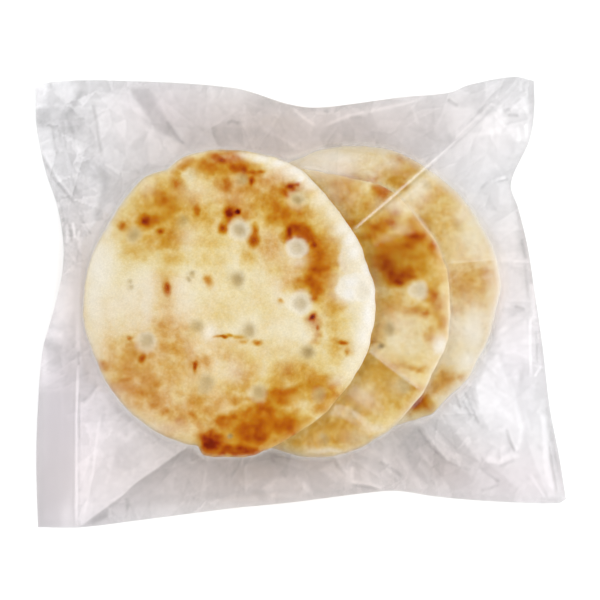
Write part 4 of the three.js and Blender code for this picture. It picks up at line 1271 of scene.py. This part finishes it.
# What lies under the upper film: the height of the stack, how far the front bread reaches, how far the film
# clings to a bread, and the milky veil along the edges of the breads, which also paints light over the
# shade at their edges.
Cover = namedtuple("Cover", "stack on_front clinging veil")
FRONT_PASSES = 4
STACK_VEIL = 0.12
MIDDLE_VEIL = 0.1
VEIL_PASSES = 4
FRONT_SHADE = 0.32
FRONT_SHADE_PASSES = 300
LOW_SHADE_LOSS = 0.75
LOW_SHADE_RISE = (290, 45)


def film_tint(column, row, clinging):
    """Colour of clear film: cool, with pink areas mostly towards the ends, and a painted warm glow by the
    breads.
    """
    tint = np.full((*column.shape, 3), COOL_TINT)
    for areas, colour in ((PINK_AREAS, PINK_TINT), (PAINTED_BOUNCE_AREAS, PAINTED_BOUNCE_TINT)):
        share = np.max([strength_at(column, row, area) for area in areas], axis=0)
        share = (share * (1 - clinging))[..., None]
        tint = tint * (1 - share) + share * np.array(colour)
    return tint


def weld_at(column, row):
    """1 on the flat weld at the bag's left end, and 0 away from it."""
    return fall(column, *WELD_COLUMN_FALL) * rise(row, *WELD_ROW_RISE)


def painted_light_looks(tone, clinging):
    """Dimness, gloss and haze that paint highlights and shade on the film: shade dims it, and a highlight
    is more gloss off the breads and a milkier film on them.
    """
    dim = np.clip(PLAIN_DIM - tone / FLOOR_THROUGH, 0, MOST_DIM) * (1 - clinging)
    dim = dim + np.clip(-BREAD_DIM * tone, 0, MOST_BREAD_DIM) * clinging
    white = np.maximum(tone - PLAIN_DIM * FLOOR_THROUGH, 0)
    milky = np.clip(tone, 0, MOST_MILKY) * clinging
    gloss = (PLAIN_GLOSS + HIGHLIGHT_GLOSS * white) * (1 - clinging) + BREAD_GLOSS * clinging
    gloss = gloss + MILKY_GLOSS * milky
    haze = PLAIN_HAZE * (1 - clinging) + MILKY_HAZE * milky
    return dim, gloss, haze


def edge_of(mask):
    """1 along the edge of a mask, fading out on both sides of it."""
    soft = evened(mask.astype(float), VEIL_PASSES)
    return 4 * soft * (1 - soft)


def cover_of(breads, x, y):
    """How the breads lie under the upper film."""
    tops = [np.nan_to_num(cast(tree_of(piece), x, y, True), nan=0.0) for piece in breads]
    stack = np.max(tops, axis=0)
    covered = stack > 0
    on_front = evened(grown(tops[0] > 0).astype(float), FRONT_PASSES)
    clinging = evened(1.0 - grown(~covered), 1)
    front_and_middle = np.max(tops[:2], axis=0) > 0
    veil = np.maximum(STACK_VEIL * edge_of(covered), MIDDLE_VEIL * edge_of(front_and_middle))
    return Cover(stack, on_front, clinging, veil)


def front_shadow(row, cover):
    """Shadow of the front bread on the breads beside it, weaker in the lower half of the picture."""
    shadow = evened(cover.on_front, FRONT_SHADE_PASSES) * (1 - cover.on_front) * cover.clinging
    return shadow * (1 - LOW_SHADE_LOSS * rise(row, *LOW_SHADE_RISE))


def upper_looks(column, row, tone, cover):
    """Haze, gloss and clear colour of the upper film, which carry its sharpened painted highlights and
    shade and the painted shadow of the front bread.
    """
    tone = tone + (tone - evened(tone, SHARPENING_PASSES))
    dim, gloss, haze = painted_light_looks(tone * (1 - cover.on_front), cover.clinging)
    through = 1 - dim - FRONT_SHADE * front_shadow(row, cover)
    clear = film_tint(column, row, cover.clinging) * through[..., None]
    clear = np.concatenate([clear, np.ones((*tone.shape, 1))], -1).reshape(-1, 4)
    return dict(haze=(haze + cover.veil).ravel(), gloss=gloss.ravel(), clear=clear)


# Making the film

# At the bag's edge the two films are drawn together by CAD_EDGE each, over a width of EDGE_BLEND, and they
# keep the gaps from the floor and the breads. All are in mm.
EDGE_BLEND = 8.0
CAD_EDGE = 0.5
FLOOR_GAP = 0.25
BREAD_GAP = 0.3
UPPER_PASSES = 30
FRONT_LIFT_LOSS = 0.85
LOWER_PASSES = 8
LOWER_WAVE = Layer(0.5, 40, 401)
LOWER_RIPPLE = Layer(0.15, 14, 402)
LOWER_TINT = (0.945, 0.945, 0.945)
LOWER_HAZE = 0.01


def make_film(name, places, faces, material, values):
    piece = make_mesh(name, np.stack(places, -1).reshape(-1, 3), faces, material, values)
    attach(piece, "root")
    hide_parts("bag")


def make_upper_film(solid, breads, material):
    x, y = film_plan(UPPER_CELLS)
    from_edge = edge_distance(x, y)
    inside = smooth_step(from_edge / EDGE_BLEND)
    height = evened(solid_height(solid, x, y, True), UPPER_PASSES) - CAD_EDGE * (1 - inside)
    column, row = picture_of(x, y, height)
    cover = cover_of(breads, x, y)
    weld = weld_at(column, row)
    small = small_creases()
    lift, facets = crumple_of(column, row, cover.clinging, weld)
    for crease in CREASES + small:
        lift = lift + crease_lift(column, row, crease)
    height = height + lift * inside * (1 - FRONT_LIFT_LOSS * cover.on_front)
    for line in SEAL_LINES:
        height = height + crease_lift(column, row, line)
    height = np.where(cover.stack > 0, np.maximum(height, cover.stack + BREAD_GAP), height)
    edge = np.exp(-(from_edge / EDGE_WIDTH) ** 2)
    # The tone is the film's painted highlights and shade, darker on the weld and along the bag's edge.
    tone = painted_light_and_shade(column, row, small) + facets - WELD_SHADE * weld - EDGE_SHADE * edge
    values = upper_looks(column, row, tone, cover)
    make_film("film_upper", (x, y, height), grid_faces(UPPER_CELLS), material, values)


def make_lower_film(solid, breads, material):
    x, y = film_plan(LOWER_CELLS)
    inside = smooth_step(edge_distance(x, y) / EDGE_BLEND)
    height = evened(solid_height(solid, x, y, False), LOWER_PASSES) + CAD_EDGE * (1 - inside)
    column, row = picture_of(x, y, height)
    ripple = np.abs(layered(column, row, LOWER_WAVE)) + layered(column, row, LOWER_RIPPLE)
    undersides = [np.nan_to_num(cast(tree_of(piece), x, y, False), nan=np.inf) for piece in breads]
    ceiling = np.min(undersides, axis=0) - BREAD_GAP
    height = np.maximum(np.minimum(height + ripple * inside, ceiling), FLOOR_GAP)
    values = dict(haze=np.full(x.size, LOWER_HAZE), gloss=np.full(x.size, PLAIN_GLOSS))
    values["clear"] = np.tile((*LOWER_TINT, 1.0), (x.size, 1))
    faces = [face[::-1] for face in grid_faces(LOWER_CELLS)]
    make_film("film_lower", (x, y, height), faces, material, values)


# Materials

NOISE_ROUGHNESS = 0.55


def linear(colour):
    """An sRGB colour of 0 to 255 in linear light."""
    share = np.asarray(colour) / 255
    return np.where(share <= 0.04045, share / 12.92, ((share + 0.055) / 1.055) ** 2.4).tolist()


class Nodes:
    """Short names for building the node tree of a material or a world."""

    def __init__(self, owner):
        self.owner = owner
        owner.use_nodes = True
        self.tree = owner.node_tree
        self.tree.nodes.clear()

    def add(self, kind, sockets=(), **settings):
        """A new node with these settings, and with values or links on its sockets."""
        node = self.tree.nodes.new(kind)
        for key, value in settings.items():
            setattr(node, key, value)
        for socket, value in dict(sockets).items():
            if isinstance(value, bpy.types.NodeSocket):
                self.tree.links.new(value, node.inputs[socket])
            else:
                node.inputs[socket].default_value = value
        return node

    def attribute(self, name, output="Fac"):
        return self.add("ShaderNodeAttribute", attribute_name=name).outputs[output]

    def math(self, operation, first, second):
        return self.add("ShaderNodeMath", {0: first, 1: second}, operation=operation).outputs[0]

    def texture(self, scale, detail):
        place = self.add("ShaderNodeTexCoord").outputs["Object"]
        sockets = {"Vector": place, "Scale": scale, "Detail": detail, "Roughness": NOISE_ROUGHNESS}
        return self.add("ShaderNodeTexNoise", sockets).outputs["Fac"]

    def between(self, value, limits, start, end):
        """A smooth change from start to end while the input goes from limit to limit."""
        low, high = limits
        sockets = {"Value": value, "From Min": low, "From Max": high, "To Min": start, "To Max": end}
        return self.add("ShaderNodeMapRange", sockets, interpolation_type="SMOOTHSTEP").outputs["Result"]

    def ramp(self, factor, stops):
        node = self.add("ShaderNodeValToRGB", {"Fac": factor})
        elements = node.color_ramp.elements
        while len(elements) < len(stops):
            elements.new(0.5)
        for element, (position, colour) in zip(elements, stops):
            element.position = position
            element.color = colour
        return node.outputs["Color"]

    def mix(self, factor, first, second):
        """A mix of two colours, which such a node has on sockets 6 and 7, with the result on 2."""
        return self.add("ShaderNodeMix", {0: factor, 6: first, 7: second}, data_type="RGBA").outputs[2]

    def mix_shaders(self, factor, first, second):
        return self.add("ShaderNodeMixShader", {0: factor, 1: first.outputs[0], 2: second.outputs[0]})

    def output(self, shader):
        self.add("ShaderNodeOutputMaterial", {"Surface": shader.outputs[0]})


# Crust colours by how toasted it is, plain and pink.
TOAST_STOPS = (
    (0.0, (250, 246, 234)), (0.16, (246, 238, 212)), (0.3, (240, 224, 176)), (0.4, (231, 204, 132)),
    (0.5, (217, 173, 80)), (0.6, (204, 146, 38)), (0.7, (195, 114, 6)), (0.8, (176, 82, 0)),
    (0.88, (148, 44, 0)), (1.0, (92, 8, 0)),
)
PINK_STOPS = (
    (0.0, (250, 246, 234)), (0.16, (246, 236, 214)), (0.3, (240, 220, 182)), (0.4, (232, 199, 148)),
    (0.5, (217, 168, 102)), (0.6, (203, 138, 66)), (0.7, (190, 104, 26)), (0.8, (174, 76, 4)),
    (0.88, (148, 38, 2)), (1.0, (84, 2, 0)),
)
FLOUR = (250, 245, 232)
DIMPLE_GREY = (190, 164, 108)
BREAD_BRIGHTNESS = 0.92
# Noise of the crust: its scale in patches a metre, and its detail.
GRAIN = (520, 5)
MOTTLE = (900, 4)
PORES = (1500, 3)
GRAIN_SHIFT = 0.1
CRUST_MOTTLE = 0.29
MOTTLE_SHADE = (0.02, 0.015, 0.01, 1)
CRUST_ROUGHNESS = 0.5
GRAIN_ROUGHNESS = 0.3
CRUST_SPECULAR = 0.03
PORE_STRENGTH = 0.35
PORE_DEPTH = 0.0006

# Colour of the film's milky haze, which also paints the highlights over the breads.
FILM_MILK = (0.95, 0.91, 0.84, 1)
FILM_ROUGHNESS = 0.06
FILM_SHINE = 0.1
SHINE_POWER = 5.0


def crust_colour(colour):
    """A crust colour as read from the photograph, toned down for the scene's bright light."""
    return (*(BREAD_BRIGHTNESS * value for value in linear(colour)), 1.0)


def crust_stops(stops):
    return [(position, crust_colour(colour)) for position, colour in stops]


def bread_material():
    nodes = Nodes(bpy.data.materials.new("bread_crust"))
    grain = nodes.texture(*GRAIN)
    shift = nodes.math("MULTIPLY", nodes.math("SUBTRACT", grain, 0.5), GRAIN_SHIFT)
    toast = nodes.math("ADD", nodes.attribute("toast"), shift)
    plain = nodes.ramp(toast, crust_stops(TOAST_STOPS))
    colour = nodes.mix(nodes.attribute("pink"), plain, nodes.ramp(toast, crust_stops(PINK_STOPS)))
    colour = nodes.mix(nodes.attribute("flour"), colour, crust_colour(FLOUR))
    colour = nodes.mix(nodes.attribute("grey"), colour, crust_colour(DIMPLE_GREY))
    mottle = nodes.math("MULTIPLY", nodes.texture(*MOTTLE), CRUST_MOTTLE)
    colour = nodes.mix(mottle, colour, MOTTLE_SHADE)
    rough = nodes.math("ADD", nodes.math("MULTIPLY", grain, GRAIN_ROUGHNESS), CRUST_ROUGHNESS)
    pores = {"Height": nodes.texture(*PORES), "Strength": PORE_STRENGTH, "Distance": PORE_DEPTH}
    normal = nodes.add("ShaderNodeBump", pores).outputs["Normal"]
    sockets = {"Base Color": colour, "Roughness": rough, "Normal": normal}
    sockets["Specular IOR Level"] = CRUST_SPECULAR
    nodes.output(nodes.add("ShaderNodeBsdfPrincipled", sockets))
    return nodes.owner


def film_material():
    nodes = Nodes(bpy.data.materials.new("clear_film"))
    # Besides the film's own look, the clear colour, haze and gloss attributes carry its painted highlights
    # and shade.
    clear = nodes.add("ShaderNodeBsdfTransparent", {"Color": nodes.attribute("clear", "Color")})
    milk = nodes.add("ShaderNodeBsdfDiffuse", {"Color": FILM_MILK})
    hazy = nodes.mix_shaders(nodes.attribute("haze"), clear, milk)
    gloss = nodes.add("ShaderNodeBsdfGlossy", {"Color": (1, 1, 1, 1), "Roughness": FILM_ROUGHNESS})
    slant = nodes.add("ShaderNodeLayerWeight", {"Blend": 0.5})
    grazing = nodes.math("POWER", slant.outputs["Facing"], SHINE_POWER)
    shine = nodes.math("ADD", nodes.math("MULTIPLY", grazing, 1 - FILM_SHINE), FILM_SHINE)
    shine = nodes.math("MULTIPLY", shine, nodes.attribute("gloss"))
    nodes.output(nodes.mix_shaders(shine, hazy, gloss))
    return nodes.owner


# Stage

FLOOR_REACH = 4000
FLOOR_WHITE = (0.97, 0.97, 0.97, 1)
FLOOR_ROUGHNESS = 0.9
# The light's strength straight above and around, and from the right and the left. Limits tell how far a
# direction has to point that way. The right light is turned towards -Y, and the left one towards +Y.
ROOM_ABOVE = 0.9
ROOM_AROUND = 0.35
ROOM_LIMITS = (1.0, 0.4)
RIGHT_LIGHT = 2.1
RIGHT_LIMITS = (0.12, 0.6)
RIGHT_TURN = 0.1
LEFT_LIGHT = 1.5
LEFT_LIMITS = (0.12, 0.62)
LEFT_TURN = 0.35


def make_floor():
    nodes = Nodes(bpy.data.materials.new("floor"))
    sockets = {"Base Color": FLOOR_WHITE, "Roughness": FLOOR_ROUGHNESS, "Specular IOR Level": 0.0}
    nodes.output(nodes.add("ShaderNodeBsdfPrincipled", sockets))
    corners = [(x * FLOOR_REACH, y * FLOOR_REACH, 0) for x, y in ((-1, -1), (1, -1), (1, 1), (-1, 1))]
    floor = make_mesh("floor", corners, [(0, 1, 2, 3)], nodes.owner)


def make_world():
    """Soft light from both sides, in a room that is brightest straight above."""
    world = bpy.data.worlds.new("studio")
    nodes = Nodes(world)
    way = nodes.add("ShaderNodeTexCoord").outputs["Generated"]
    sideways, along, upward = nodes.add("ShaderNodeSeparateXYZ", {0: way}).outputs
    room = nodes.between(upward, ROOM_LIMITS, ROOM_ABOVE, ROOM_AROUND)
    right = nodes.math("SUBTRACT", sideways, nodes.math("MULTIPLY", along, RIGHT_TURN))
    right = nodes.between(right, RIGHT_LIMITS, 0, RIGHT_LIGHT)
    left = nodes.math("SUBTRACT", nodes.math("MULTIPLY", along, LEFT_TURN), sideways)
    left = nodes.between(left, LEFT_LIMITS, 0, LEFT_LIGHT)
    strength = nodes.math("ADD", room, nodes.math("ADD", right, left))
    background = nodes.add("ShaderNodeBackground", {"Strength": strength})
    nodes.add("ShaderNodeOutputWorld", {"Surface": background.outputs[0]})
    bpy.context.scene.world = world


def make_camera():
    data = bpy.data.cameras.new("camera")
    data.lens = LENS_MM
    data.sensor_width = SENSOR_MM
    camera = bpy.data.objects.new("camera", data)
    camera.location = (0, CAMERA_Y * MM, CAMERA_HEIGHT * MM)
    bpy.context.collection.objects.link(camera)
    bpy.context.scene.camera = camera


make_floor()
make_world()
make_camera()
bpy.context.scene.view_settings.view_transform = "Standard"

crust = bread_material()
breads = [make_bread(bread, crust) for bread in BREADS]
solid = tree_of(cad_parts["bag"])
film = film_material()
make_upper_film(solid, breads, film)
make_lower_film(solid, breads, film)
